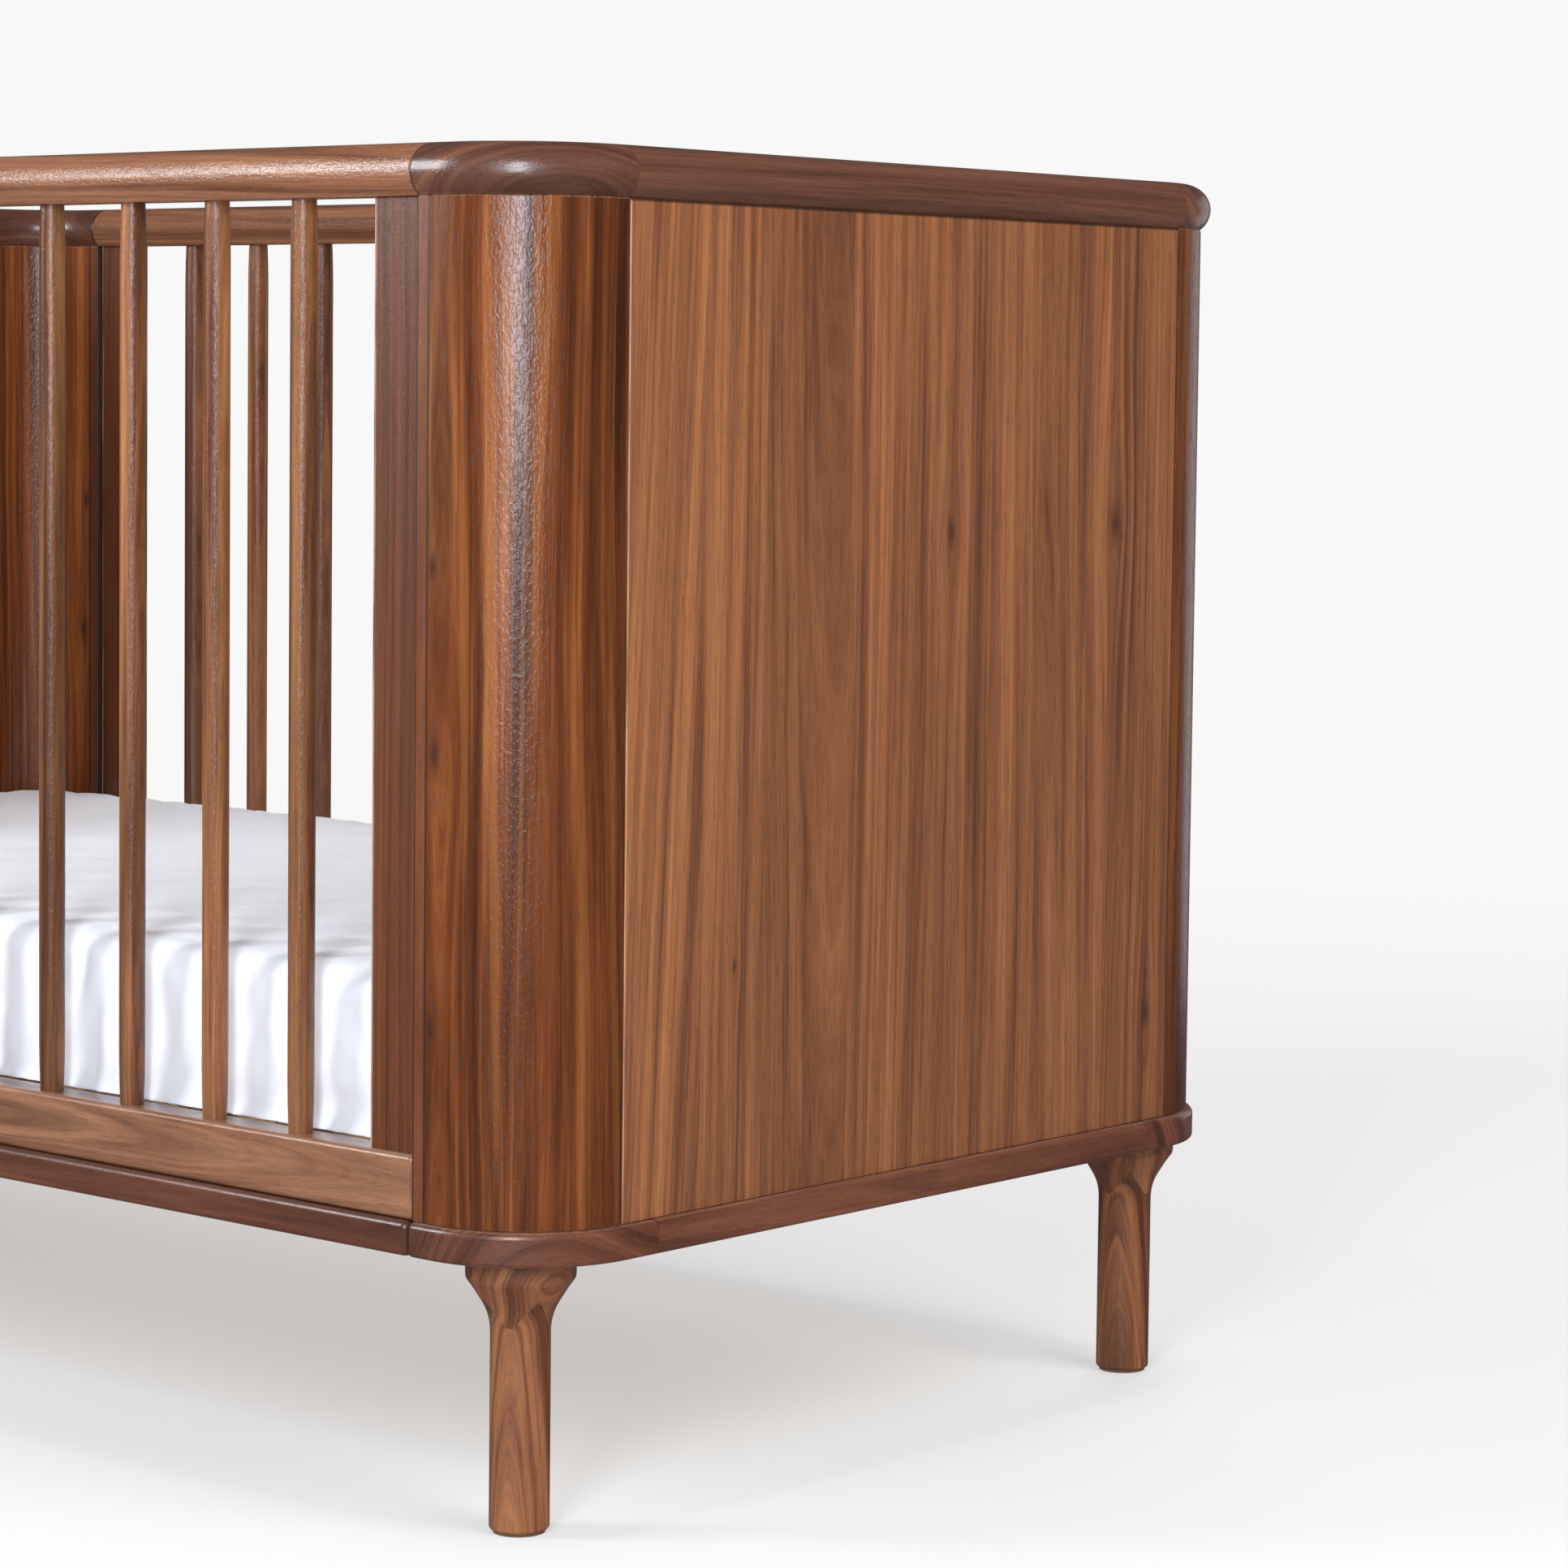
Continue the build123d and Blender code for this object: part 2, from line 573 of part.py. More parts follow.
# Mattress -------------------------------------------------------------------------------------------


def soft_slab(grow, height):
    """A slab with round corners and a round top edge, standing on the support."""
    plan = RectangleRounded(
        2 * (MATTRESS_HALF_L + grow), 2 * (MATTRESS_HALF_W + grow), MATTRESS_CORNER_R + grow
    )
    slab = extrude(Pos(0, 0, SUPPORT_TOP_Z) * plan, height)
    return fillet(level_edges(slab, SUPPORT_TOP_Z + height), MATTRESS_EDGE_R + grow)


def mattress():
    return soft_slab(0, MATTRESS_T)


def fitted_sheet():
    return soft_slab(SHEET_T, MATTRESS_T + SHEET_T) - mattress()


# Output ---------------------------------------------------------------------------------------------


def save_ends():
    for name, sign in ENDS.items():
        save(f"end_panel_{name}", to_corner(end_panel(), sign, -1))
        save(f"top_rail_end_{name}", to_corner(top_rail_end(), sign, -1))
        save(f"base_rail_end_{name}", to_corner(base_rail_end(), sign, -1))
        save(f"support_end_{name}", to_corner(support_end(), sign, -1))


def save_corners():
    for name, signs in CORNERS.items():
        save(f"corner_post_{name}", to_corner(corner_post(), *signs))
        save(f"corner_strip_{name}", to_corner(corner_strip(), *signs))
        save(f"top_rail_corner_{name}", to_corner(top_rail_corner(), *signs))
        save(f"base_corner_{name}", to_corner(base_corner(), *signs))
        save(f"side_stile_{name}", to_corner(side_stile(), *signs))
        core, cheeks = leg_parts(name)
        save(f"leg_{name}", to_corner(core, *signs))
        save(f"leg_cheeks_{name}", *[to_corner(cheek, *signs) for cheek in cheeks])


def save_sides():
    for name, sign in SIDES.items():
        save(f"side_top_rail_{name}", to_corner(side_top_rail(), 1, sign))
        save(f"side_bottom_rail_{name}", to_corner(side_bottom_rail(), 1, sign))
        save(f"side_base_rail_{name}", to_corner(side_base_rail(), 1, sign))
        save(f"spindles_{name}", *[to_corner(spindle(x), 1, sign) for x in spindle_places()])


def save_at_all_corners(name, pieces):
    """One node with the same fixings at every corner."""
    save(name, *[to_corner(piece, *signs) for signs in CORNERS.values() for piece in pieces])


def save_fixings():
    inserts = list(panel_inserts())
    save("panel_inserts", *inserts, *[mirror(piece, Plane.YZ) for piece in inserts])
    save_at_all_corners("leg_glides", [leg_glide()])
    save_at_all_corners("leg_studs", [leg_stud()])
    save_at_all_corners("leg_inserts", [leg_insert()])
    save_at_all_corners("side_bolts", [side_bolt(z) for z in BOLT_LEVELS])
    save_at_all_corners("side_inserts", [side_insert(z) for z in BOLT_LEVELS])
    save_at_all_corners("dowels", list(dowels()))
    save_at_all_corners("support_brackets", [bracket()])
    save_at_all_corners(
        "bracket_screws", [bracket_screw(offset) for offset in (-BRACKET_SCREW_DY, BRACKET_SCREW_DY)]
    )


def save_support():
    for name, y in zip(("front", "middle", "rear"), LONG_RAIL_Y):
        save(f"support_rail_{name}", support_rail(y))
    save("support_slats", *[slat((i - (SLATS - 1) / 2) * SLAT_PITCH) for i in range(SLATS)])
    screws = [support_screw(y) for y in LONG_RAIL_Y]
    save("support_screws", *screws, *[mirror(screw, Plane.YZ) for screw in screws])


os.makedirs("parts", exist_ok=True)
save_ends()
save_corners()
save_sides()
save_fixings()
save_support()
save("mattress", mattress())
save("fitted_sheet", fitted_sheet())
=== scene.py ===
import math

import bmesh
import bpy
import numpy as np
from mathutils import Matrix, Vector, noise


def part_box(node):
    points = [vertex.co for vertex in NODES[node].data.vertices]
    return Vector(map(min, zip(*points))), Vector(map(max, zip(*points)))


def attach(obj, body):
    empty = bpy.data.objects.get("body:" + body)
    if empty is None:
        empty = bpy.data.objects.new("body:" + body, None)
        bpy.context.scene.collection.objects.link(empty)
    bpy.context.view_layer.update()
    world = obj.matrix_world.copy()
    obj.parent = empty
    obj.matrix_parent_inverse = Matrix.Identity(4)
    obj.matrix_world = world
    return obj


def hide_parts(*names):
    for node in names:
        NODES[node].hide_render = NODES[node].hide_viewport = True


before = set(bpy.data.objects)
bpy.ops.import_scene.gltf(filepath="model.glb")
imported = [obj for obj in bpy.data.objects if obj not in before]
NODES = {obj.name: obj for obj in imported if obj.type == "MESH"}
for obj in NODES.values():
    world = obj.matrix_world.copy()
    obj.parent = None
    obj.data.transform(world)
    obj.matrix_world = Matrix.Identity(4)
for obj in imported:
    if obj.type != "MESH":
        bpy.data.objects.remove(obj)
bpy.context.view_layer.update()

# Camera: where the photograph was taken from, in metres and degrees
CAMERA_PLACE = (2.6345, -2.3792, 0.7498)
CAMERA_YAW = 39.933
CAMERA_PITCH = 3.818
CAMERA_ROLL = 0.708
CAMERA_LENS = 102.91
CAMERA_SHIFT = (-0.05274, -0.06997)

BACKGROUND = 0.938  # brightness of the backdrop and of the open floor
FLOOR_GLOW = 0.435  # part of it that the crib's shadow can't take away
FLOOR_ALBEDO = 0.40
WHITE = (1.0, 1.0, 1.0, 1.0)
AMBIENT = 0.25  # soft light from all round
MIRRORED = 0.08  # what the lacquer reflects where there is no lamp

# Wooden parts, in metres
STRIP_WIDTH = 0.012  # the strip glued along each corner post
SPINDLE_PITCH = 0.0844
SLAT_PITCH = 0.098

# Bedding, in metres
CLOTH_SPACING = 0.010  # between the points of the pad and of the sheet before it is smoothed
PAD_INSET = 0.008  # from the CAD solid to the pad's sides
SHEET_CORNER = 0.047  # radius of its upright corners
SHEET_END_INSET = 0.002  # from the CAD solid to its ends
SHEET_FULLNESS = 0.001  # how far its long sides stand out from the CAD solid before they fold
SHEET_SLACK = 0.02  # how much too large it is cut, as a share
SETTLE_FRAMES = 12
SHEET_GIVE_IN = 0.0035  # how far it may sink in, and swell out, as it settles
SHEET_GIVE_OUT = 0.0035
END_GIVE_IN = 0.003  # the same at the two ends
END_GIVE_OUT = 0.001
HEM_OUT = 0.0062  # how far beyond the CAD solid the hem of the long sides is drawn
HEM_LIMIT = 0.006  # the furthest that any cloth there may lie beyond it
HEM_TUCK = 0.032  # width of what is tucked under
HEM_EDGE = 0.014  # height and depth of the squared lower edge
HEM_LIFT = 0.0004  # clear of what the mattress lies on
CREASES = ((0.030, 0.0006), (0.064, 0.0006), (0.104, 0.0004))  # (from the long edge, depth)


def srgb(red, green, blue):
    """Linear colour from 0-255 display values."""
    values = [channel / 255 for channel in (red, green, blue)]
    return tuple(c / 12.92 if c <= 0.04045 else ((c + 0.055) / 1.055) ** 2.4 for c in values) + (1.0,)


# Shader nodes ---------------------------------------------------------------------------------------


class Shader:
    """One material, with short names for the nodes it is made of."""

    def __init__(self, name):
        self.material = bpy.data.materials.new(name)
        self.material.use_nodes = True
        self.tree = self.material.node_tree
        self.tree.nodes.clear()
        self.point = self.add("ShaderNodeTexCoord").outputs["Object"]

    def add(self, kind, inputs=(), **settings):
        node = self.tree.nodes.new(kind)
        for key, value in settings.items():
            setattr(node, key, value)
        for key, value in dict(inputs).items():
            self.put(node.inputs[key], value)
        return node

    def put(self, socket, value):
        if isinstance(value, bpy.types.NodeSocket):
            self.tree.links.new(value, socket)
        else:
            socket.default_value = value

    def math(self, operation, *values):
        node = self.add("ShaderNodeMath", operation=operation)
        for i, value in enumerate(values):
            self.put(node.inputs[i], value)
        return node.outputs[0]

    def plus(self, a, b):
        return self.math("ADD", a, b)

    def times(self, a, b):
        return self.math("MULTIPLY", a, b)

    def scaled(self, value, factor, offset=0.0):
        return self.math("MULTIPLY_ADD", value, factor, offset)

    def dot(self, vector, axis):
        node = self.add("ShaderNodeVectorMath", operation="DOT_PRODUCT")
        self.put(node.inputs[0], vector)
        self.put(node.inputs[1], axis)
        return node.outputs["Value"]

    def vector(self, x, y, z=0.0):
        return self.add("ShaderNodeCombineXYZ", {"X": x, "Y": y, "Z": z}).outputs[0]

    def noise(self, vector, detail=2.0, rough=0.5, flat=False):
        node = self.add(
            "ShaderNodeTexNoise",
            {"Vector": vector, "Scale": 1.0, "Detail": detail, "Roughness": rough},
            noise_dimensions="2D" if flat else "3D",
        )
        return node.outputs["Fac"]

    def chance(self, number):
        """Three random numbers that hang on one number."""
        node = self.add("ShaderNodeTexWhiteNoise", {"W": number}, noise_dimensions="1D")
        split = self.add("ShaderNodeSeparateColor", {"Color": node.outputs["Color"]})
        return split.outputs[0], split.outputs[1], split.outputs[2]

    def step(self, value, low, high):
        """0 at low, 1 at high, smooth between."""
        node = self.add(
            "ShaderNodeMapRange", {"Value": value, "From Min": low, "From Max": high},
            interpolation_type="SMOOTHSTEP",
        )
        return node.outputs["Result"]

    def ramp(self, value, stops, interpolation="LINEAR"):
        node = self.add("ShaderNodeValToRGB", {"Fac": value})
        ramp = node.color_ramp
        ramp.interpolation = interpolation
        while len(ramp.elements) < len(stops):
            ramp.elements.new(0.5)
        for element, (place, colour) in zip(ramp.elements, stops):
            element.position = place
            element.color = colour
        return node.outputs["Color"]

    def mix(self, factor, a, b):
        node = self.add("ShaderNodeMix", data_type="RGBA")
        for i, value in ((0, factor), (6, a), (7, b)):
            self.put(node.inputs[i], value)
        return node.outputs[2]

    def dim(self, colour, factor):
        """A colour times a grey value."""
        node = self.add("ShaderNodeVectorMath", operation="SCALE")
        self.put(node.inputs[0], colour[:3] if isinstance(colour, tuple) else colour)
        self.put(node.inputs["Scale"], factor)
        return node.outputs[0]

    def bump(self, height, strength, distance):
        inputs = {"Height": height, "Strength": strength, "Distance": distance}
        return self.add("ShaderNodeBump", inputs).outputs["Normal"]

    def finish(self, colour, roughness, normal, **uniform):
        """Close the material with a Principled shader. uniform holds plain values for its other sockets."""
        shader = self.add("ShaderNodeBsdfPrincipled", {"Base Color": colour, "Roughness": roughness})
        self.put(shader.inputs["Normal"], normal)
        for name, value in uniform.items():
            shader.inputs[name.replace("_", " ")].default_value = value
        output = self.add("ShaderNodeOutputMaterial")
        self.tree.links.new(shader.outputs[0], output.inputs["Surface"])
        return self.material


def paint(node, material):
    """Put a material on a CAD node through its object's slots."""
    for slot in NODES[node].material_slots:
        slot.link = "OBJECT"
        slot.material = material


# Wood -----------------------------------------------------------------------------------------------

# Colours of the lacquered walnut: dark line, deep, mid and golden
PANEL_TONES = (srgb(91, 51, 31), srgb(116, 70, 42), srgb(129, 79, 47), srgb(146, 93, 56))
POST_TONES = (srgb(58, 28, 12), srgb(89, 45, 20), srgb(106, 55, 26), srgb(138, 82, 40))
RAIL_TONES = (srgb(100, 59, 42), srgb(129, 84, 59), srgb(142, 95, 69), srgb(160, 112, 81))
CAP_TONES = (srgb(61, 34, 26), srgb(86, 52, 39), srgb(98, 61, 46), srgb(118, 76, 54))
BASE_TONES = (srgb(65, 33, 23), srgb(87, 49, 34), srgb(99, 56, 39), srgb(115, 70, 48))
STILE_TONES = (srgb(72, 35, 15), srgb(89, 46, 23), srgb(96, 50, 25), srgb(107, 59, 31))
SPINDLE_TONES = (srgb(88, 48, 28), srgb(122, 75, 46), srgb(139, 87, 53), srgb(162, 110, 66))
LEG_TONES = (srgb(96, 53, 32), srgb(126, 76, 47), srgb(140, 87, 54), srgb(156, 100, 61))
PINE_TONES = (srgb(176, 134, 88), srgb(205, 168, 120), srgb(216, 182, 136), srgb(226, 196, 154))
TONE_STOPS = (0.12, 0.38, 0.58, 0.88)
KNOT_HEART = srgb(62, 34, 26)
# Pale colour of the arrises: partly worn edges, partly a painted highlight
ARRIS_WEAR_AND_HIGHLIGHT = srgb(196, 158, 132)
JOINT_LINE = srgb(38, 24, 18)

X, Y, Z = Vector((1, 0, 0)), Vector((0, 1, 0)), Vector((0, 0, 1))


def edge_distance(s, node, planes):
    """Distance in metres from the nearest of the node's own arrises.

    planes holds the axes whose two end planes bound the visible faces, or "box" for every edge of the box.
    """
    low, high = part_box(node)
    split = s.add("ShaderNodeSeparateXYZ", {"Vector": s.point})
    gaps = []
    for axis in range(3):
        middle, half = (low[axis] + high[axis]) / 2, (high[axis] - low[axis]) / 2
        away = s.math("ABSOLUTE", s.plus(split.outputs[axis], -middle))
        gaps.append(s.math("SUBTRACT", half, away))
    if planes == "box":
        pairs = [s.math("MAXIMUM", gaps[i], gaps[j]) for i, j in ((0, 1), (1, 2), (0, 2))]
    else:
        pairs = [gaps["xyz".index(letter)] for letter in planes]
    nearest = pairs[0]
    for pair in pairs[1:]:
        nearest = s.math("MINIMUM", nearest, pair)
    return nearest


def dress(
    node, tones, grain, seed, pith=(0.0, -0.06), slope=0.0, lines=80.0, sway=0.012, staves=None, pitch=None,
    knots=(), veins=0.25, gloss=0.3, planes="box", contrast=1.0, wear_and_highlight=0.35, gold=0.0, spread=0.30, tint=1.0,
    pitting=1.0, bend=False, seams=(), rim=1.0, coat=0.35,
):
    """Give one CAD node its own solid wood.

    tones: its four colours, from the dark lines to the golden ones. seed: which piece of the tree it is.
    grain: three unit vectors, across the board, through it and along the fibres.
    pith: where the middle of the tree lies, across and through, from the middle of the node.
    slope: how fast the growth rings climb along the board, which draws the cathedral arches.
    lines: growth lines per metre. sway: how far they wander, in metres.
    staves: the axis they lie side by side on, then (edge, pith shift, slope, tone) of each glued stave.
    pitch: spacing along X of the repeated pieces that the node holds.
    spread: how much the tones of staves or repeated pieces differ.
    tint: how light this node is beside its fellows.
    contrast, veins, gold: strength of the growth lines, of the dark veins and of the thin golden lines.
    knots: (across, along, size) of each knot.
    gloss: roughness of the lacquer. coat: weight of the smooth top coat.
    pitting: how far the open grain breaks up the shine. bend: true if it does so mostly on a round corner.
    planes: which of its arrises are painted pale, as in edge_distance: partly worn edges, partly a painted
    highlight where
    light catches them. wear_and_highlight: how pale. rim: how wide, as a multiple of 1.3 mm. seams: (axis,
    place) of each dark joint line.
    """
    s = Shader(f"wood_{node}")
    low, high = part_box(node)
    centre = (low + high) / 2
    across, through, along = (s.dot(s.point, axis) for axis in grain)
    start_across, start_through = grain[0].dot(centre), grain[1].dot(centre)
    along = s.plus(along, seed * 3.7)
    tone = 0.5
    ring_slope = slope
    if pitch:
        index = s.math("FLOOR", s.scaled(s.dot(s.point, X), 1 / pitch, 0.0))
        first, second, tone = s.chance(s.plus(index, seed * 7.31))
        across = s.plus(across, s.scaled(first, 0.4))
        through = s.plus(through, s.scaled(second, 0.06))
        along = s.plus(along, s.scaled(first, 2.0))
    for knot_across, knot_along, size in knots:
        du = s.scaled(across, 1 / size, -knot_across / size)
        dw = s.scaled(along, 0.22 / size, -(knot_along + seed * 3.7) * 0.22 / size)
        reach = s.plus(s.times(du, du), s.times(dw, dw))
        pull = s.math("EXPONENT", s.times(reach, -1.0))
        across = s.plus(knot_across, s.times(s.plus(across, -knot_across), s.scaled(pull, -0.86, 1.0)))
    shift = 0.0
    if staves:
        axis, table = staves
        start = axis.dot(low)
        span = axis.dot(high) - start
        stops = [((edge - start) / span, (move, rise, shade, 1.0)) for edge, move, rise, shade in table]
        place = s.scaled(s.dot(s.point, axis), 1 / span, -start / span)
        table = s.add("ShaderNodeSeparateColor", {"Color": s.ramp(place, stops, "CONSTANT")})
        shift = s.scaled(table.outputs[0], 0.30, -0.15)
        ring_slope = s.scaled(table.outputs[1], 0.10, -0.05)
        tone = table.outputs[2]
        along = s.plus(along, s.scaled(table.outputs[0], 5.0))
    wander = s.noise(s.vector(s.times(across, 5.0), s.times(through, 5.0), s.times(along, 1.1)), 1.0)
    ripple = s.noise(s.vector(s.times(across, 34.0), s.times(through, 34.0), s.times(along, 5.0)), 2.0)
    from_pith = s.plus(s.plus(across, -start_across - pith[0]), shift)
    deep = s.plus(through, -start_through - pith[1])
    ring = s.math("SQRT", s.plus(s.times(from_pith, from_pith), s.times(deep, deep)))
    ring = s.plus(ring, s.times(along, ring_slope))
    ring = s.plus(ring, s.plus(s.scaled(wander, 2 * sway, -sway), s.scaled(ripple, 0.0036, -0.0018)))

    bands = s.noise(s.vector(s.times(ring, lines), s.times(along, 1.1)), 6.0, 0.74, flat=True)
    bands = s.scaled(bands, 2.1 * contrast, 0.5 - 1.05 * contrast)
    colour = s.ramp(bands, tuple(zip(TONE_STOPS, tones)))
    vein = s.noise(s.vector(s.times(ring, lines * 0.8), s.plus(s.times(along, 0.7), 40.0)), 3.0, flat=True)
    colour = s.dim(colour, s.scaled(s.step(vein, 0.55, 0.68), -veins, 1.0))
    hair = s.noise(s.vector(s.times(ring, lines * 5.5), s.plus(s.times(along, 1.9), 120.0)), 2.0, flat=True)
    colour = s.dim(colour, s.scaled(s.step(hair, 0.36, 0.64), 0.15, 0.925))
    if gold:
        streak_place = s.vector(s.times(ring, lines * 2.6), s.plus(s.times(along, 1.5), 80.0))
        streak = s.noise(streak_place, 2.0, flat=True)
        colour = s.mix(s.times(s.step(streak, 0.58, 0.72), gold), colour, tones[3])

    def stretched(width, length, detail, rough=0.6):
        place = s.vector(s.times(across, width), s.times(through, width), s.times(along, length))
        return s.noise(place, detail, rough)

    fibre = stretched(480.0, 12.0, 3.0, 0.68)
    pores = s.step(stretched(850.0, 60.0, 1.0), 0.58, 0.70)
    fleck = stretched(240.0, 95.0, 2.0)
    pits = s.times(s.step(stretched(520.0, 230.0, 2.0), 0.42, 0.62), 0.55 * pitting)
    if bend:
        normal = s.add("ShaderNodeNewGeometry").outputs["Normal"]
        facing = s.add("ShaderNodeSeparateXYZ", {"Vector": normal})
        turned = s.math("ABSOLUTE", s.times(facing.outputs[0], facing.outputs[1]))
        pits = s.times(pits, s.scaled(s.step(turned, 0.18, 0.42), 0.8, 0.2))
    shade = s.scaled(fibre, 0.56, 0.72)
    shade = s.times(shade, s.scaled(pores, -0.22, 1.0))
    shade = s.times(shade, s.scaled(fleck, 0.16, 0.92))
    cloud = s.noise(s.vector(s.times(across, 9.0), s.times(through, 9.0), s.times(along, 1.6)), 2.0)
    shade = s.times(shade, s.scaled(cloud, 0.36, 0.82))
    shade = s.times(shade, s.scaled(tone, spread * tint, (1 - spread / 2) * tint))
    colour = s.dim(colour, shade)
    for knot_across, knot_along, size in knots:
        du = s.scaled(s.dot(s.point, grain[0]), 2.6 / size, -knot_across * 2.6 / size)
        dw = s.scaled(s.dot(s.point, grain[2]), 1.1 / size, -knot_along * 1.1 / size)
        heart = s.math("EXPONENT", s.times(s.plus(s.times(du, du), s.times(dw, dw)), -1.0))
        colour = s.mix(s.times(heart, 0.85), colour, KNOT_HEART)

    # Arrises painted pale: partly worn edges, partly a painted highlight where light catches the rounded
    # edge.
    arris = edge_distance(s, node, planes)
    arris_wear_and_highlight = s.math("SUBTRACT", 1.0, s.step(arris, 0.0004 * rim, 0.0013 * rim))
    arris_wear_and_highlight = s.times(arris_wear_and_highlight, s.step(fibre, 0.30, 0.62))
    colour = s.mix(s.times(arris_wear_and_highlight, wear_and_highlight), colour, ARRIS_WEAR_AND_HIGHLIGHT)

    for axis, place in seams:
        away = s.math("ABSOLUTE", s.plus(s.dot(s.point, axis), -place))
        colour = s.mix(s.scaled(s.step(away, 0.0010, 0.0026), -0.85, 0.85), colour, JOINT_LINE)

    height = s.plus(s.plus(s.scaled(fibre, 0.5), s.scaled(pores, -0.7)), pits)
    normal = s.bump(height, 0.26, 0.00030)
    roughness = s.plus(s.scaled(fibre, 0.10, gloss), s.scaled(pores, 0.20))
    paint(node, s.finish(
        colour, roughness, normal, Specular_IOR_Level=0.46, IOR=1.48, Coat_Weight=coat, Coat_Roughness=0.18,
    ))


# Grain: across the board, through it and along the fibres
UPRIGHT_Y = (Y, X, Z)  # an upright piece of an end
UPRIGHT_X = (X, Y, Z)  # an upright piece of a side
ALONG_X = (Y, Z, X)  # a long rail, flat
ALONG_X_FACE = (Z, Y, X)  # a long rail on edge
ALONG_Y = (Z, X, Y)

# Glued staves and knots of each end panel, listed as dress takes them
END_STAVES = {
    "right": (
        (-0.294, 0.92, 0.86, 0.86), (-0.222, 0.30, 0.58, 0.62), (-0.161, 0.80, 0.44, 0.34),
        (-0.075, 0.18, 0.54, 0.78), (0.032, 0.66, 0.47, 0.46), (0.130, 0.08, 0.60, 0.48),
        (0.213, 0.85, 0.38, 0.24),
    ),
    "left": (
        (-0.294, 0.15, 0.42, 0.40), (-0.210, 0.74, 0.60, 0.66), (-0.118, 0.35, 0.52, 0.30),
        (-0.031, 0.95, 0.70, 0.72), (0.061, 0.22, 0.46, 0.48), (0.140, 0.62, 0.36, 0.56),
        (0.226, 0.05, 0.56, 0.34),
    ),
}
END_KNOTS = {
    "right": ((0.033, 0.643, 0.010), (0.222, 0.645, 0.016), (0.268, 0.284, 0.011), (-0.188, 0.361, 0.005)),
    "left": ((-0.150, 0.480, 0.009), (0.105, 0.715, 0.007), (0.252, 0.360, 0.010)),
}

# How light each corner post is, its (distance, tone) bands and its (distance, height, size) knots.
# Distances are from its seam with the strip.
POST_TINTS = {"front_right": 1.08, "front_left": 1.08, "rear_right": 0.85, "rear_left": 1.3}
POST_BANDS = ((0.0, 0.62), (0.026, 0.52), (0.060, 0.30), (0.080, 0.12))
POST_KNOTS = ((0.004, 0.625, 0.010), (0.007, 0.505, 0.013), (0.004, 0.330, 0.009))


def corner_signs(name):
    return (1 if name.endswith("right") else -1, 1 if "rear" in name else -1)


def inner_end(node):
    """Place along X of the end of a corner piece that meets a side of the crib."""
    return min(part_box(node), key=lambda corner: abs(corner.x)).x


def slanted(name, climb):
    """Grain that runs across a corner, from one wall to the other, and climbs."""
    sign_x, sign_y = corner_signs(name)
    along = Vector((sign_x, -sign_y, climb)).normalized()
    across = Vector((sign_x, sign_y, 0)).normalized()
    return (across, along.cross(across), along)


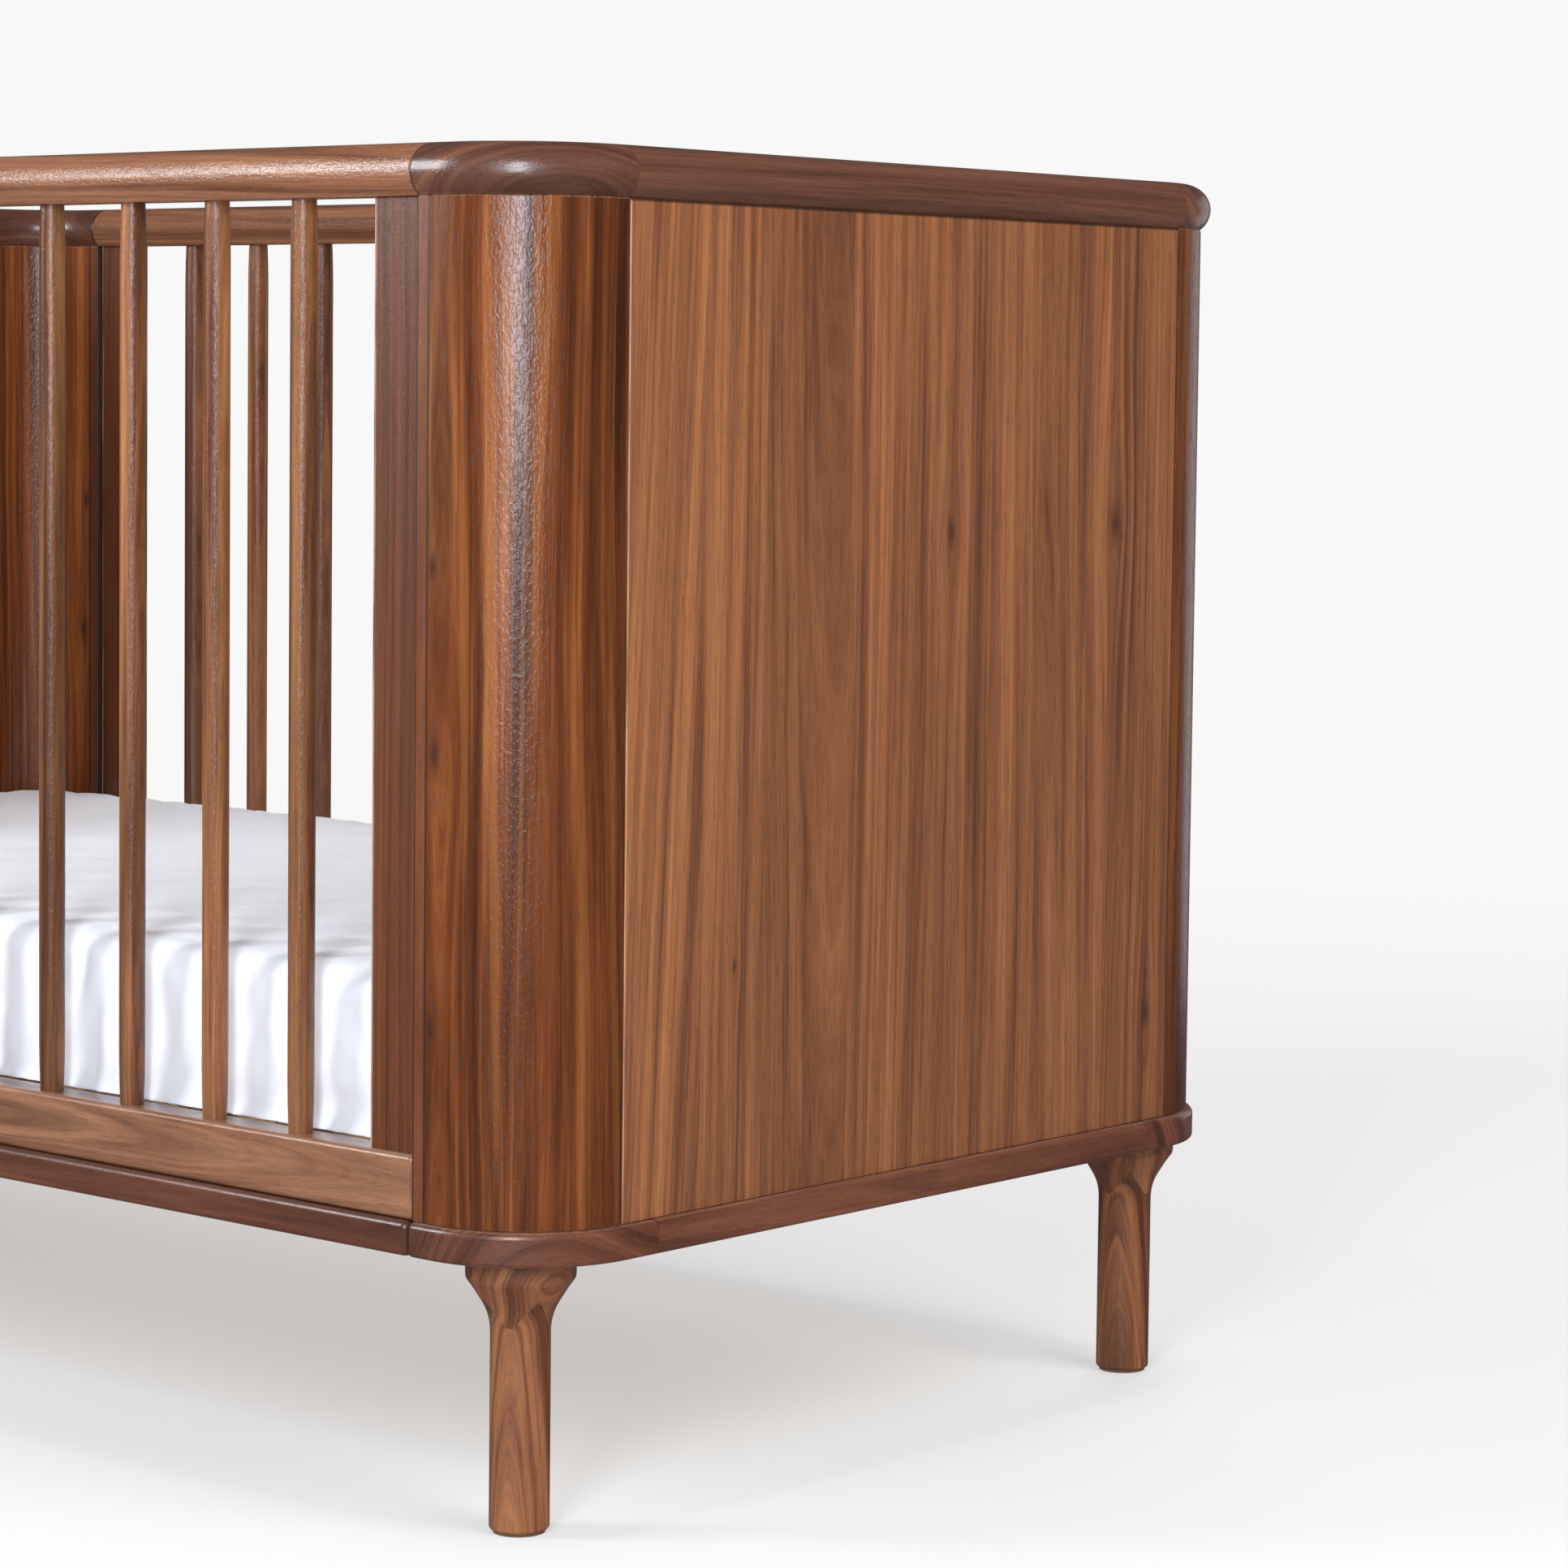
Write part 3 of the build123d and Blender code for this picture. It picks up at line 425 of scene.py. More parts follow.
def dress_wood():
    """Give every wooden CAD node its own wood."""
    for order, side in enumerate(("right", "left")):
        rear_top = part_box(f"end_panel_{side}")[1]
        dress(
            f"end_panel_{side}", PANEL_TONES, UPRIGHT_Y, 1.0 + order, pith=(0.0, -0.075), lines=85.0,
            sway=0.010, staves=(Y, END_STAVES[side]), knots=END_KNOTS[side], veins=0.16, gloss=0.40,
            planes="y", contrast=1.05, wear_and_highlight=0.7, gold=0.2, tint=1.0 if side == "right" else 0.85,
            seams=((Z, rear_top.z), (Y, rear_top.y)),
        )
        dress(
            f"top_rail_end_{side}", CAP_TONES, ALONG_Y, 3.0 + order, pith=(-0.06, 0.05), lines=95.0,
            planes="y", wear_and_highlight=0.0, gloss=0.32, contrast=0.7, veins=0.15,
        )
        dress(
            f"base_rail_end_{side}", BASE_TONES, ALONG_Y, 5.0 + order, pith=(0.01, -0.05), lines=95.0,
            wear_and_highlight=0.2, gloss=0.34, planes="z",
        )
        dress(f"support_end_{side}", PINE_TONES, ALONG_Y, 7.0 + order, lines=110.0, veins=0.1, gloss=0.5)
    for order, corner in enumerate(POST_TINTS):
        sign_x, sign_y = corner_signs(corner)
        low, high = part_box(f"corner_post_{corner}")
        centre = (low + high) / 2
        seam = low.x if sign_x > 0 else high.x
        knots = [(seam + sign_x * away, height, size) for away, height, size in POST_KNOTS]
        bands = [(seam + sign_x * away, shade) for away, shade in POST_BANDS]
        if sign_x < 0:
            edges = [edge for edge, _ in bands[1:]] + [low.x]
            bands = [(edge, shade) for edge, (_, shade) in zip(edges, bands)][::-1]
        table = [(edge, 0.5, 0.5 + 0.06 * (i % 2), shade) for i, (edge, shade) in enumerate(bands)]
        dress(
            f"corner_post_{corner}", POST_TONES, UPRIGHT_X, 11.0 + order,
            pith=(seam + sign_x * 0.012 - centre.x, sign_y * 0.02), slope=0.016, lines=80.0, sway=0.014,
            staves=(X, table), knots=knots, veins=0.36, gloss=0.17, planes="z", contrast=1.0, wear_and_highlight=0.25,
            gold=0.45, spread=0.7, tint=POST_TINTS[corner], pitting=2.0, bend=True, coat=0.06,
        )
        dress(
            f"corner_strip_{corner}", STILE_TONES, UPRIGHT_X, 15.0 + order, lines=80.0, veins=0.1,
            tint=1.35, planes="z", seams=((X, seam - sign_x * STRIP_WIDTH), (X, seam)),
        )
        dress(
            f"top_rail_corner_{corner}", CAP_TONES, slanted(corner, 0.22), 19.0 + order,
            pith=(-0.10, -0.12), lines=75.0, planes="x", wear_and_highlight=0.0, gloss=0.28, contrast=0.8, pitting=1.6,
            seams=((X, inner_end(f"top_rail_corner_{corner}")),),
        )
        dress(
            f"base_corner_{corner}", BASE_TONES, slanted(corner, 0.55), 23.0 + order, pith=(-0.05, -0.06),
            lines=85.0, planes="z", wear_and_highlight=0.2, gloss=0.32, contrast=1.0,
            seams=((X, inner_end(f"base_corner_{corner}")),),
        )
        # The stile's arrises are painted pale over a wider band, as a painted highlight along its edges.
        dress(
            f"side_stile_{corner}", STILE_TONES, UPRIGHT_X, 27.0 + order, pith=(-0.10, 0.0), lines=150.0,
            veins=0.3, gloss=0.32, contrast=1.2, wear_and_highlight=0.95, gold=0.25, rim=2.6,
        )
        dress(
            f"leg_{corner}", LEG_TONES, UPRIGHT_X, 31.0 + order, pith=(0.004, -0.010), slope=0.05,
            lines=85.0, planes="z", wear_and_highlight=0.0, gloss=0.36, veins=0.55, sway=0.009, contrast=1.7,
        )
        dress(
            f"leg_cheeks_{corner}", LEG_TONES, slanted(corner, 2.4), 35.0 + order, pith=(0.15, 0.12),
            lines=90.0, planes="z", wear_and_highlight=0.0, gloss=0.36, veins=0.35, contrast=1.2,
        )
    for order, side in enumerate(("front", "rear")):
        dress(
            f"side_top_rail_{side}", RAIL_TONES, ALONG_X, 41.0 + order, pith=(0.0, -0.03), slope=0.010,
            lines=85.0, planes="x", wear_and_highlight=0.0, gloss=0.20, pitting=3.2, veins=0.3, coat=0.08,
        )
        dress(
            f"side_bottom_rail_{side}", RAIL_TONES, ALONG_X_FACE, 43.0 + order, pith=(0.004, 0.014),
            slope=0.020, lines=85.0, sway=0.012, wear_and_highlight=0.5, gloss=0.28, contrast=1.4, veins=0.45,
            tint=0.86,
        )
        dress(
            f"side_base_rail_{side}", BASE_TONES, ALONG_X_FACE, 45.0 + order, pith=(0.01, 0.03),
            lines=85.0, wear_and_highlight=0.4, gloss=0.30,
        )
        dress(
            f"spindles_{side}", SPINDLE_TONES, UPRIGHT_X, 47.0 + order, pith=(0.03, -0.03), lines=80.0,
            pitch=SPINDLE_PITCH, planes="z", wear_and_highlight=0.0, gloss=0.27, contrast=1.45, veins=0.45, gold=0.15,
            pitting=2.6, tint=0.96, coat=0.08,
        )
    for order, name in enumerate(("front", "middle", "rear")):
        dress(
            f"support_rail_{name}", PINE_TONES, ALONG_X, 51.0 + order, lines=110.0, veins=0.1, gloss=0.5,
        )
    dress(
        "support_slats", PINE_TONES, (X, Z, Y), 55.0, lines=100.0, veins=0.1, gloss=0.5, pitch=SLAT_PITCH,
        planes="z",
    )
    dress("dowels", PINE_TONES, ALONG_X, 57.0, lines=110.0, veins=0.1, gloss=0.5, planes="x")


# Metal, plastic and cloth ---------------------------------------------------------------------------


def metal(name, colour, roughness, brush):
    """Plated steel: cloudy plating and fine brushing along one axis, given as 0, 1 or 2."""
    s = Shader(name)
    stretch = [900.0 if axis != brush else 30.0 for axis in range(3)]
    split = s.add("ShaderNodeSeparateXYZ", {"Vector": s.point})
    brushed = s.noise(s.vector(*[s.times(split.outputs[i], stretch[i]) for i in range(3)]), 3.0, 0.6)
    clouds = s.noise(s.vector(*[s.times(split.outputs[i], 140.0) for i in range(3)]), 3.0)
    shade = s.times(s.scaled(brushed, 0.24, 0.88), s.scaled(clouds, 0.30, 0.85))
    rough = s.plus(s.scaled(clouds, 0.22, roughness), s.scaled(brushed, 0.10))
    return s.finish(s.dim(colour, shade), rough, s.bump(brushed, 0.25, 0.00008), Metallic=1.0)


def glide_plastic():
    s = Shader("glide_plastic")
    split = s.add("ShaderNodeSeparateXYZ", {"Vector": s.point})
    grains = s.noise(s.vector(*[s.times(split.outputs[i], 1800.0) for i in range(3)]), 2.0)
    scuffs = s.noise(s.vector(*[s.times(split.outputs[i], 220.0) for i in range(3)]), 3.0)
    shade = s.scaled(scuffs, 0.8, 0.6)
    colour = s.dim(srgb(112, 78, 60), shade)
    return s.finish(colour, s.scaled(grains, 0.2, 0.5), s.bump(grains, 0.3, 0.0001))


def cotton(name, colour, thread=0.00042, slub=0.05):
    """Plain weave, with thicker threads here and there, seen on whichever face the cloth shows."""
    s = Shader(name)
    split = s.add("ShaderNodeSeparateXYZ", {"Vector": s.point})
    normal = s.add("ShaderNodeNewGeometry").outputs["Normal"]
    facing = s.add("ShaderNodeSeparateXYZ", {"Vector": normal})
    flat = s.step(s.math("ABSOLUTE", facing.outputs[2]), 0.55, 0.85)
    sideways = s.step(s.math("ABSOLUTE", facing.outputs[0]), 0.55, 0.85)
    x, y, z = (split.outputs[i] for i in range(3))
    warp = s.plus(s.times(x, s.math("SUBTRACT", 1.0, sideways)), s.times(y, sideways))
    weft = s.plus(s.times(y, flat), s.times(z, s.math("SUBTRACT", 1.0, flat)))
    lift = s.times(
        s.math("SINE", s.times(warp, math.pi / thread)), s.math("SINE", s.times(weft, math.pi / thread))
    )
    uneven = s.noise(s.vector(s.times(warp, 900.0), s.times(weft, 14.0)), 2.0, flat=True)
    crossing = s.noise(s.vector(s.times(warp, 14.0), s.times(weft, 900.0)), 2.0, flat=True)
    threads = s.plus(s.times(uneven, 0.5), s.times(crossing, 0.5))
    soft = s.noise(s.vector(s.times(x, 7.0), s.times(y, 7.0), s.times(z, 7.0)), 3.0)
    shade = s.times(s.scaled(threads, slub, 1 - slub / 2), s.scaled(soft, 0.05, 0.975))
    height = s.plus(s.times(lift, 0.5), threads)
    return s.finish(
        s.dim(colour, shade), s.scaled(threads, 0.12, 0.80), s.bump(height, 0.20, 0.00018),
        Sheen_Weight=0.12, Sheen_Roughness=0.5, Specular_IOR_Level=0.25,
    )


def dress_fixings():
    zinc = metal("zinc_steel", srgb(196, 196, 200), 0.28, 2)
    bright = metal("bright_steel", srgb(206, 204, 200), 0.24, 0)
    paint("support_brackets", zinc)
    for node in (
        "side_bolts", "side_inserts", "leg_studs", "leg_inserts", "panel_inserts", "support_screws",
        "bracket_screws",
    ):
        paint(node, bright)
    paint("leg_glides", glide_plastic())


# Bedding --------------------------------------------------------------------------------------------


def new_mesh(name, points, faces, material):
    mesh = bpy.data.meshes.new(name)
    mesh.from_pydata(points, [], faces)
    mesh.materials.append(material)
    for polygon in mesh.polygons:
        polygon.use_smooth = True
    mesh.update()
    piece = bpy.data.objects.new(name, mesh)
    bpy.context.scene.collection.objects.link(piece)
    return piece


def perimeter(half_x, half_y, radius, spacing):
    """Points and outward normals round a rounded rectangle, evenly spaced, anticlockwise."""
    run_x, run_y, bend = 2 * (half_x - radius), 2 * (half_y - radius), radius * math.pi / 2
    total = 2 * run_x + 2 * run_y + 4 * bend
    count = int(total / spacing)
    corners = (
        (half_x - radius, -half_y + radius, -90), (half_x - radius, half_y - radius, 0),
        (-half_x + radius, half_y - radius, 90), (-half_x + radius, -half_y + radius, 180),
    )
    points = []
    for i in range(count):
        gone = i * total / count
        for (cx, cy, turn), run in zip(corners, (run_x, run_y, run_x, run_y)):
            normal = Vector((math.cos(math.radians(turn)), math.sin(math.radians(turn))))
            tangent = Vector((-normal.y, normal.x))
            if gone < run:
                start = Vector((cx, cy)) + normal * radius
                points.append((start - tangent * (run - gone), normal))
                break
            gone -= run
            if gone < bend:
                angle = math.radians(turn + gone / bend * 90)
                normal = Vector((math.cos(angle), math.sin(angle)))
                points.append((Vector((cx, cy)) + normal * radius, normal))
                break
            gone -= bend
    return points


def slab(name, material, half_x, half_y, radius, low, high, top_r, bottom_r, spacing):
    """A soft slab as rings of points from the middle of its top, over the edge and under it.

    radius is that of its upright corners, top_r and bottom_r those of its upper and lower edge.
    """
    outline = perimeter(half_x, half_y, radius, spacing)
    profile = []  # (inset from the outline, z)
    inner = half_y - 0.004
    steps = int((inner - top_r) / spacing)
    profile += [(inner + (top_r - inner) * i / steps, high) for i in range(steps)]
    arc = max(5, int(top_r * 1.6 / spacing))
    for i in range(arc + 1):
        a = math.pi / 2 * i / arc
        profile.append((top_r * (1 - math.sin(a)), high - top_r * (1 - math.cos(a))))
    tall = high - low - top_r - bottom_r
    rows = int(tall / spacing)
    profile += [(0.0, high - top_r - tall * i / rows) for i in range(1, rows)]
    for i in range(arc + 1):
        a = math.pi / 2 * i / arc
        profile.append((bottom_r * (1 - math.cos(a)), low + bottom_r * (1 - math.sin(a))))
    steps = max(2, int((inner - bottom_r) / spacing))
    profile += [(bottom_r + (inner - bottom_r) * i / steps, low) for i in range(1, steps + 1)]
    points = []
    for inset, z in profile:
        for point, normal in outline:
            if inset <= radius:
                spot = point - normal * inset
            else:
                spot_x = math.copysign(min(abs(point.x), half_x - inset), point.x)
                spot_y = math.copysign(min(abs(point.y), half_y - inset), point.y)
                spot = Vector((spot_x, spot_y))
            points.append((spot.x, spot.y, z))
    count = len(outline)
    faces = []
    for row in range(len(profile) - 1):
        for i in range(count):
            j = (i + 1) % count
            a, b = row * count, (row + 1) * count
            faces.append((a + i, b + i, b + j, a + j))
    return new_mesh(name, points, faces, material)


def coordinates(mesh, what="co"):
    values = np.empty(len(mesh.vertices) * 3, np.float32)
    mesh.vertices.foreach_get(what, values)
    return values.reshape(-1, 3)


def simulate(piece, hold):
    """Let the skin of a soft piece, cut a little too large, settle into folds over its filling.

    hold gives how firmly each point is held by what is under it, from 0 to 1. The skin gets an even mesh
    first. Returned are its points and how far each of them moves.
    """
    remesh = piece.modifiers.new("even_mesh", "REMESH")
    remesh.mode = "VOXEL"
    remesh.voxel_size = CLOTH_SPACING
    remesh.use_smooth_shade = True
    evaluated = piece.evaluated_get(bpy.context.evaluated_depsgraph_get())
    mesh = bpy.data.meshes.new_from_object(evaluated)
    piece.modifiers.clear()
    piece.data = mesh
    rest, normals = coordinates(mesh), coordinates(mesh, "normal")
    uneven = np.array([noise.noise(Vector((9.0 * x, 22.0 * y, 30.0 * z))) for x, y, z in rest.tolist()])
    mesh.vertices.foreach_set("co", (rest + normals * (0.001 * uneven)[:, None]).astype(np.float32).ravel())
    mesh.update()
    group = piece.vertex_groups.new(name="hold")
    for i, (x, y, z) in enumerate(rest.tolist()):
        group.add([i], hold(x, y, z), "REPLACE")
    cloth = piece.modifiers.new("cloth", "CLOTH")
    settings = cloth.settings
    settings.quality = 4
    settings.mass = 0.15
    settings.tension_stiffness = settings.compression_stiffness = 20
    settings.shear_stiffness = 8
    settings.bending_stiffness = 0.3
    settings.use_pressure = True
    settings.uniform_pressure_force = 0.3
    settings.effector_weights.gravity = 0
    settings.shrink_min = -SHEET_SLACK
    settings.vertex_group_mass = "hold"
    settings.pin_stiffness = 1.0
    cloth.collision_settings.use_collision = False
    scene = bpy.context.scene
    scene.frame_start, scene.frame_end = 1, SETTLE_FRAMES
    for number in range(1, SETTLE_FRAMES + 1):
        scene.frame_set(number)
    settled = piece.evaluated_get(bpy.context.evaluated_depsgraph_get()).to_mesh()
    moved = coordinates(settled) - rest
    piece.modifiers.clear()
    piece.vertex_groups.clear()
    scene.frame_set(1)
    return rest, moved


def make_bedding():
    ticking = cotton("mattress_ticking", srgb(226, 224, 220), 0.0008, 0.08)
    percale = cotton("white_cotton", srgb(238, 238, 243))
    low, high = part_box("mattress")
    mattress = slab(
        "mattress_pad", ticking, high.x - PAD_INSET, high.y - PAD_INSET, 0.042, low.z, high.z - 0.005,
        0.016, 0.012, CLOTH_SPACING,
    )
    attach(mattress, "bedding")
    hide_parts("mattress")
    make_sheet(percale)


def make_sheet(material):
    """The fitted sheet: stretched over the mattress, loose enough to crease, tucked under it all round."""
    low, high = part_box("fitted_sheet")
    sheet = slab(
        "crib_sheet", material, high.x - SHEET_END_INSET, high.y + SHEET_FULLNESS, SHEET_CORNER,
        low.z + 0.0006, high.z - 0.001, 0.018, 0.004, CLOTH_SPACING,
    )
    top, bottom = high.z - 0.003, low.z + 0.002

    def hold(x, y, z):
        if z < bottom:
            return 0.9
        if z > top:
            return 0.55 if abs(y) < high.y - 0.12 and abs(x) < high.x - 0.12 else 0.3
        return 0.22

    rest, moved = simulate(sheet, hold)
    mesh = sheet.data
    normals = coordinates(mesh, "normal")
    outward = np.clip((moved * normals).sum(1), -SHEET_GIVE_IN, SHEET_GIVE_OUT)
    near_end = np.abs(rest[:, 0]) > high.x - 0.03
    outward[near_end] = np.clip(outward[near_end], -END_GIVE_IN, END_GIVE_OUT)
    settled = rest + normals * outward[:, None]
    mesh.vertices.foreach_set("co", settled.astype(np.float32).ravel())
    mesh.update()
    open_bottom(mesh, bottom, high)
    smooth = sheet.modifiers.new("smooth", "SUBSURF")
    smooth.levels = smooth.render_levels = 1
    evaluated = sheet.evaluated_get(bpy.context.evaluated_depsgraph_get())
    sheet.data = bpy.data.meshes.new_from_object(evaluated)
    sheet.modifiers.clear()
    crease(sheet.data, low, high)
    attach(sheet, "bedding")
    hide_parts("fitted_sheet")


def open_bottom(mesh, bottom, high):
    """Cut the middle of the underside away, so that only the tucked hem is left."""
    work = bmesh.new()
    work.from_mesh(mesh)
    inside = [
        face for face in work.faces
        if all(
            v.co.z < bottom and abs(v.co.x) < high.x - HEM_TUCK and abs(v.co.y) < high.y - HEM_TUCK
            for v in face.verts
        )
    ]
    bmesh.ops.delete(work, geom=inside, context="FACES")
    work.to_mesh(mesh)
    work.free()


def ridge(value, width):
    """A rounded fold: 1 on the line, almost nothing at twice its width."""
    return np.exp(-(value / width) ** 2)


def crease(mesh, low, high):
    """Add fine creases along the edges and drag lines down the sides, then square and gather the hem."""
    points, normals = coordinates(mesh), coordinates(mesh, "normal")
    x, y, z = points.T
    move = np.zeros(len(points))
    on_top = np.clip((z - high.z + 0.012) / 0.006, 0, 1)
    for i, (inset, depth) in enumerate(CREASES):
        for side in (-1, 1):
            wave = 0.004 * np.sin(x * 5.3 + i * 1.9 + side) + 0.0025 * np.sin(x * 13.1 + i * 4.7)
            fold = ridge(side * y - (high.y - inset) + wave, 0.006)
            move -= on_top * depth * (0.6 + 0.4 * np.sin(x * 4.1 + i * 2.3)) * fold
    on_side = np.clip((high.z - 0.010 - z) / 0.02, 0, 1) * np.clip((z - low.z - 0.004) / 0.012, 0, 1)
    along = np.where(np.abs(y) > high.y - 0.03, x, y)
    lean = along + 0.35 * (z - low.z)
    folds = 0.6 * np.sin(lean * 75 + 2.2 * np.sin(lean * 11))
    folds += 0.4 * np.sin(lean * 147 + 1.7 * np.sin(lean * 23))
    move += on_side * 0.0008 * folds
    points += normals * move[:, None]

    centre_inset = SHEET_CORNER + SHEET_END_INSET
    corner_x, corner_y = np.abs(x) - high.x + centre_inset, np.abs(y) - high.y + centre_inset
    round_corner = (corner_x > 0) & (corner_y > 0)
    reach = np.where(round_corner, np.hypot(corner_x, corner_y), np.maximum(corner_x, corner_y))
    reach = np.maximum(reach, 1e-6)
    out_x = np.sign(x) * np.where(round_corner, corner_x / reach, corner_x > corner_y)
    out_y = np.sign(y) * np.where(round_corner, corner_y / reach, corner_y >= corner_x)
    inset, above = np.clip(SHEET_CORNER - reach, 0, HEM_EDGE), np.clip(z - low.z, 0, HEM_EDGE)
    at_hem = (z - low.z < HEM_EDGE) & (SHEET_CORNER - reach < HEM_EDGE)
    push = at_hem * 0.7 * inset * (1 - inset / HEM_EDGE)
    gathers = 0.6 * np.sin(along * 310 + 3.0 * np.sin(along * 37))
    gathers += 0.4 * np.sin(along * 520 + 2.0 * np.sin(along * 61))
    points[:, 0] += out_x * push
    points[:, 1] += out_y * push
    long_side = out_y ** 2 * np.clip((high.x - 0.06 - np.abs(x)) / 0.04, 0, 1) * (reach > 0.036)
    hem = long_side * np.clip(1 - (z - low.z - 0.004) / 0.022, 0, 1) ** 2
    target = high.y + HEM_OUT - 0.0009 * (1 - gathers)
    points[:, 1] += np.sign(y) * hem * np.maximum(target - np.abs(points[:, 1]), 0)
    points[:, 2] -= at_hem * 0.8 * above * (1 - above / HEM_EDGE)
    points[:, 0] = np.clip(points[:, 0], -high.x, high.x)
    points[:, 1] = np.clip(points[:, 1], -high.y - HEM_LIMIT, high.y + HEM_LIMIT)
    points[:, 2] = np.clip(points[:, 2], low.z + HEM_LIFT, None)
    mesh.vertices.foreach_set("co", points.astype(np.float32).ravel())
    mesh.update()


# Studio ---------------------------------------------------------------------------------------------


def softbox(name, place, target, size, power, colour, diffuse=True, glossy=True):
    """A rectangular light that faces a target and that the camera doesn't see.

    diffuse and glossy say whether it lights matt surfaces and whether it shows in the lacquer.
    """
    light = bpy.data.lights.new(name, "AREA")
    light.shape = "RECTANGLE"
    light.size, light.size_y = size
    light.energy = power
    light.color = colour
    lamp = bpy.data.objects.new(name, light)
    bpy.context.scene.collection.objects.link(lamp)
    lamp.location = place
    lamp.rotation_euler = (Vector(target) - Vector(place)).to_track_quat("-Z", "Y").to_euler()
    lamp.visible_camera = False
    lamp.visible_diffuse = diffuse
    lamp.visible_glossy = glossy


def make_lights():
    softbox("key_right", (1.78, -2.34, 1.45), (0.55, -0.35, 0.62), (0.55, 1.7), 56.0, (0.85, 0.92, 1.0))
    softbox("key_left", (-1.55, -2.34, 1.80), (0.3, -0.35, 0.4), (0.80, 1.3), 61.0, (0.90, 0.95, 1.0))
    softbox(
        "band", (1.60, -2.45, 1.25), (0.60, -0.30, 0.60), (1.4, 1.9), 15.0, (0.84, 0.88, 1.0), diffuse=False
    )
    softbox(
        "sheen", (0.55, 2.70, 0.75), (0.69, 0.30, 0.55), (1.1, 1.6), 4.5, (0.90, 0.92, 1.0), diffuse=False
    )
    softbox(
        "fill_right", (3.30, 0.10, 2.30), (0.69, 0.0, 0.5), (2.2, 1.8), 78.0, (1.0, 0.98, 0.95),
        glossy=False,
    )
    softbox(
        "fill_back", (-1.20, 3.00, 2.40), (0.0, 0.3, 0.5), (2.6, 1.8), 50.0, (1.0, 1.0, 1.0), glossy=False
    )
    sun = bpy.data.lights.new("overhead", "SUN")
    sun.energy = 0.56
    sun.angle = math.radians(9)
    lamp = bpy.data.objects.new("overhead", sun)
    lamp.visible_glossy = False
    bpy.context.scene.collection.objects.link(lamp)


def make_world():
    world = bpy.data.worlds.new("studio")
    bpy.context.scene.world = world
    world.use_nodes = True
    world.cycles.sampling_method = "NONE"  # so that the lacquer reflects the darker surroundings only
    tree = world.node_tree
    tree.nodes.clear()
    seen = tree.nodes.new("ShaderNodeBackground")
    seen.inputs["Color"].default_value = (BACKGROUND, BACKGROUND, BACKGROUND, 1)
    lit = tree.nodes.new("ShaderNodeBackground")
    lit.inputs["Color"].default_value = (0.98, 0.98, 1.0, 1)
    lit.inputs["Strength"].default_value = AMBIENT
    mirrored = tree.nodes.new("ShaderNodeBackground")
    mirrored.inputs["Color"].default_value = (0.92, 0.94, 1.0, 1)
    mirrored.inputs["Strength"].default_value = MIRRORED
    path = tree.nodes.new("ShaderNodeLightPath")
    inner, outer = (tree.nodes.new("ShaderNodeMixShader") for _ in range(2))
    output = tree.nodes.new("ShaderNodeOutputWorld")
    for source, socket in (
        (path.outputs["Is Glossy Ray"], inner.inputs[0]), (lit.outputs[0], inner.inputs[1]),
        (mirrored.outputs[0], inner.inputs[2]), (path.outputs["Is Camera Ray"], outer.inputs[0]),
        (inner.outputs[0], outer.inputs[1]), (seen.outputs[0], outer.inputs[2]),
        (outer.outputs[0], output.inputs["Surface"]),
    ):
        tree.links.new(source, socket)


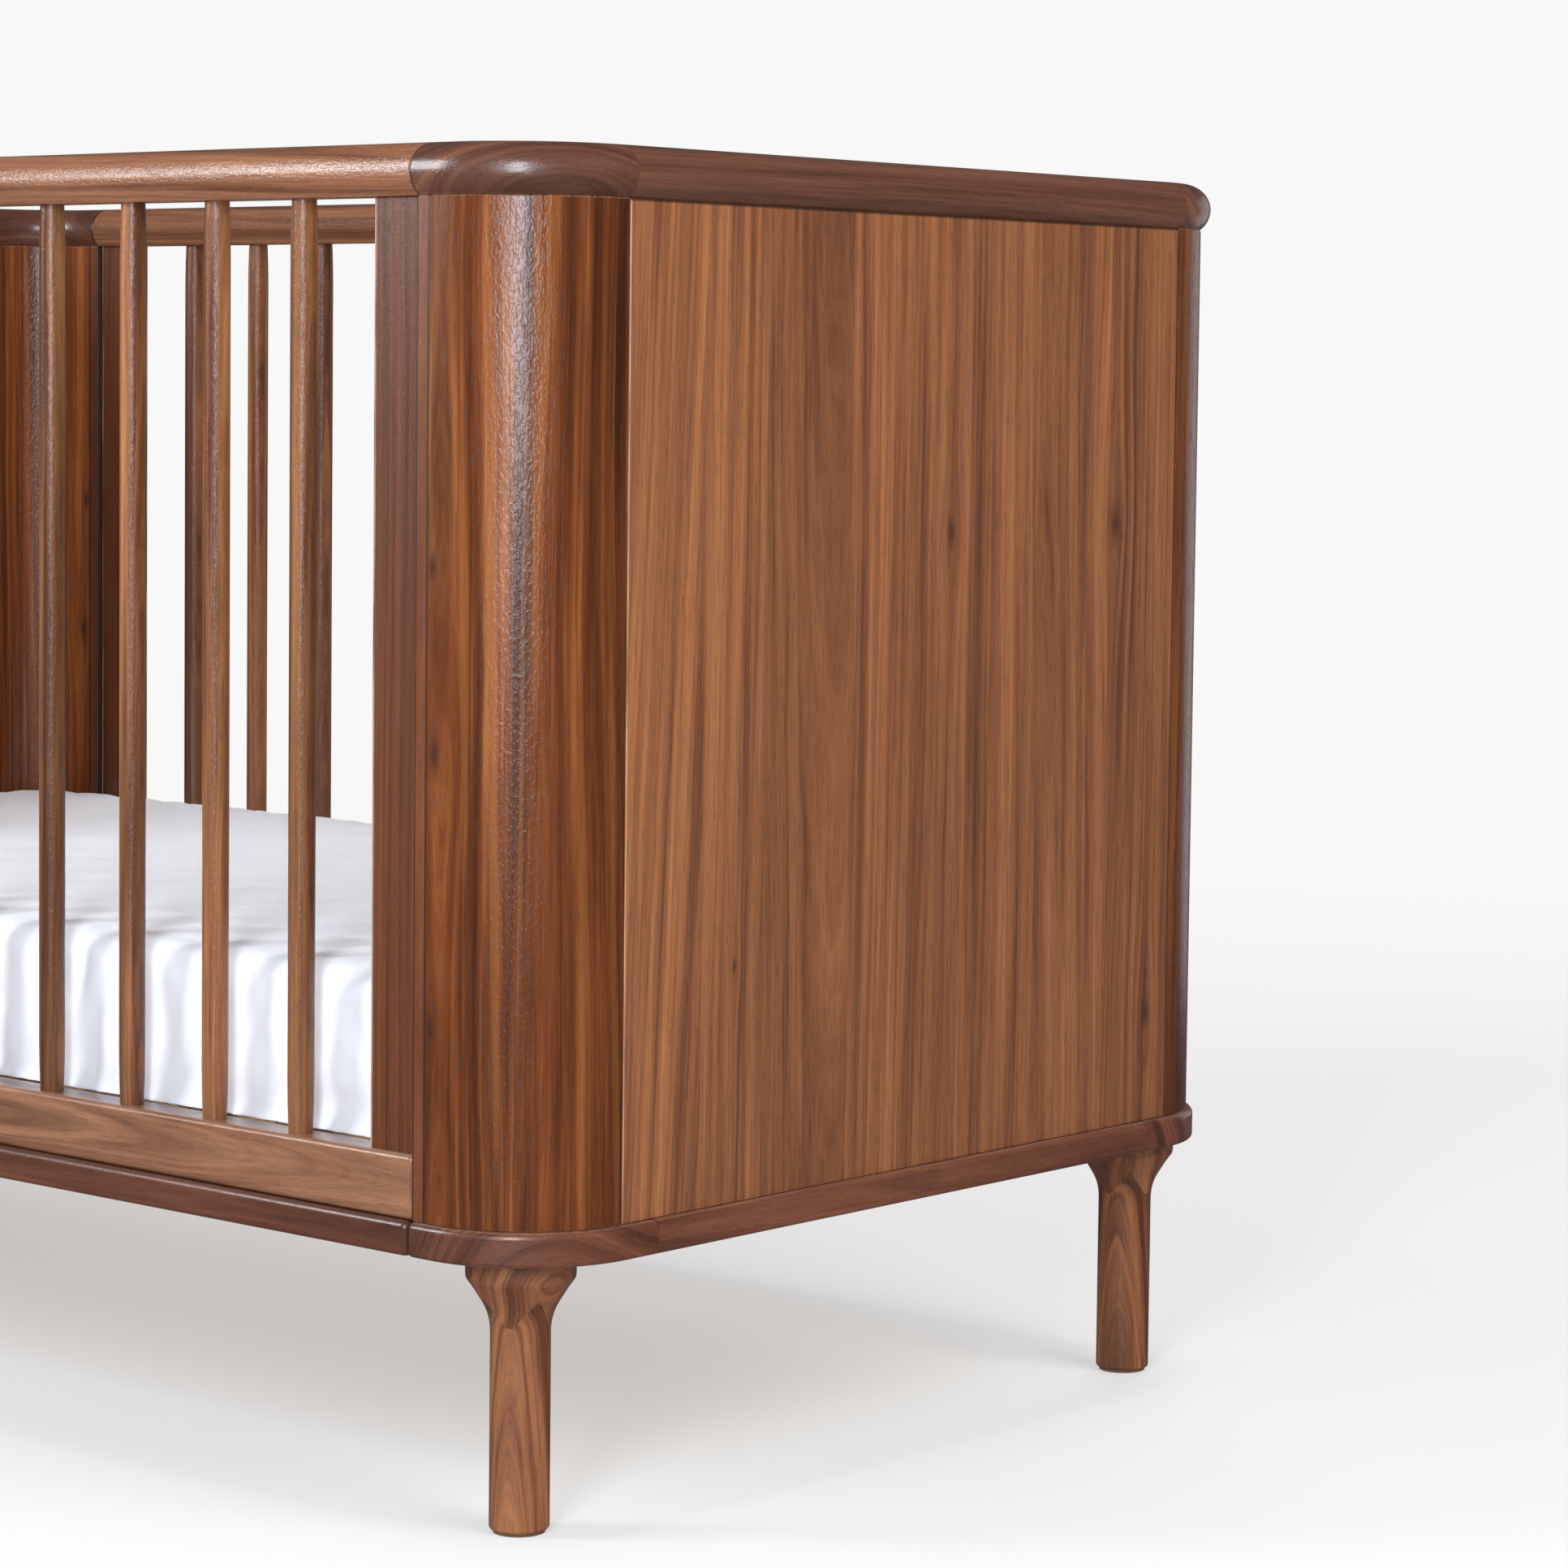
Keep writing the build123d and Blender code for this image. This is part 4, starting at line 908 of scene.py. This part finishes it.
def make_floor():
    """A pale disc that fades into the backdrop far from the crib."""
    s = Shader("studio_floor")
    away = s.add("ShaderNodeVectorMath", operation="LENGTH")
    s.put(away.inputs[0], s.point)
    fade = s.step(away.outputs["Value"], 1.6, 3.4)
    mottle = s.noise(s.point, 2.0)
    grey = s.dim(WHITE, s.scaled(mottle, 0.01, FLOOR_ALBEDO - 0.005))
    diffuse = s.add("ShaderNodeBsdfDiffuse", {"Color": grey})
    glow = s.add("ShaderNodeEmission", {"Color": WHITE, "Strength": FLOOR_GLOW})
    lit = s.add("ShaderNodeAddShader")
    s.put(lit.inputs[0], diffuse.outputs[0])
    s.put(lit.inputs[1], glow.outputs[0])
    far = s.add("ShaderNodeEmission", {"Color": WHITE, "Strength": BACKGROUND})
    mix = s.add("ShaderNodeMixShader", {"Fac": fade})
    s.put(mix.inputs[1], lit.outputs[0])
    s.put(mix.inputs[2], far.outputs[0])
    output = s.add("ShaderNodeOutputMaterial")
    s.put(output.inputs["Surface"], mix.outputs[0])
    rings, count = (0.0, 2.0, 4.0, 9.0, 30.0), 96
    points = [(0.0, 0.0, 0.0)]
    faces = []
    for ring in rings[1:]:
        points += [
            (ring * math.cos(2 * math.pi * i / count), ring * math.sin(2 * math.pi * i / count), 0.0)
            for i in range(count)
        ]
    for i in range(count):
        j = (i + 1) % count
        faces.append((0, 1 + i, 1 + j))
        for row in range(len(rings) - 2):
            a, b = 1 + row * count, 1 + (row + 1) * count
            faces.append((a + i, b + i, b + j, a + j))
    floor = new_mesh("studio_floor", points, faces, s.material)
    floor.visible_glossy = False


def make_camera():
    yaw, pitch, roll = (math.radians(v) for v in (CAMERA_YAW, CAMERA_PITCH, CAMERA_ROLL))
    forward = Vector((-math.sin(yaw) * math.cos(pitch), math.cos(yaw) * math.cos(pitch), -math.sin(pitch)))
    right = Vector((math.cos(yaw), math.sin(yaw), 0))
    up = right.cross(forward)
    rolled_right = math.cos(roll) * right + math.sin(roll) * up
    rolled_up = -math.sin(roll) * right + math.cos(roll) * up
    data = bpy.data.cameras.new("camera")
    data.sensor_width = 36.0
    data.lens = CAMERA_LENS
    data.shift_x, data.shift_y = CAMERA_SHIFT
    camera = bpy.data.objects.new("camera", data)
    bpy.context.scene.collection.objects.link(camera)
    turn = Matrix((rolled_right, rolled_up, -forward)).transposed()
    camera.matrix_world = Matrix.Translation(CAMERA_PLACE) @ turn.to_4x4()
    bpy.context.scene.camera = camera


make_camera()
make_world()
make_lights()
make_floor()
dress_wood()
dress_fixings()
make_bedding()
bpy.context.scene.view_settings.view_transform = "Standard"
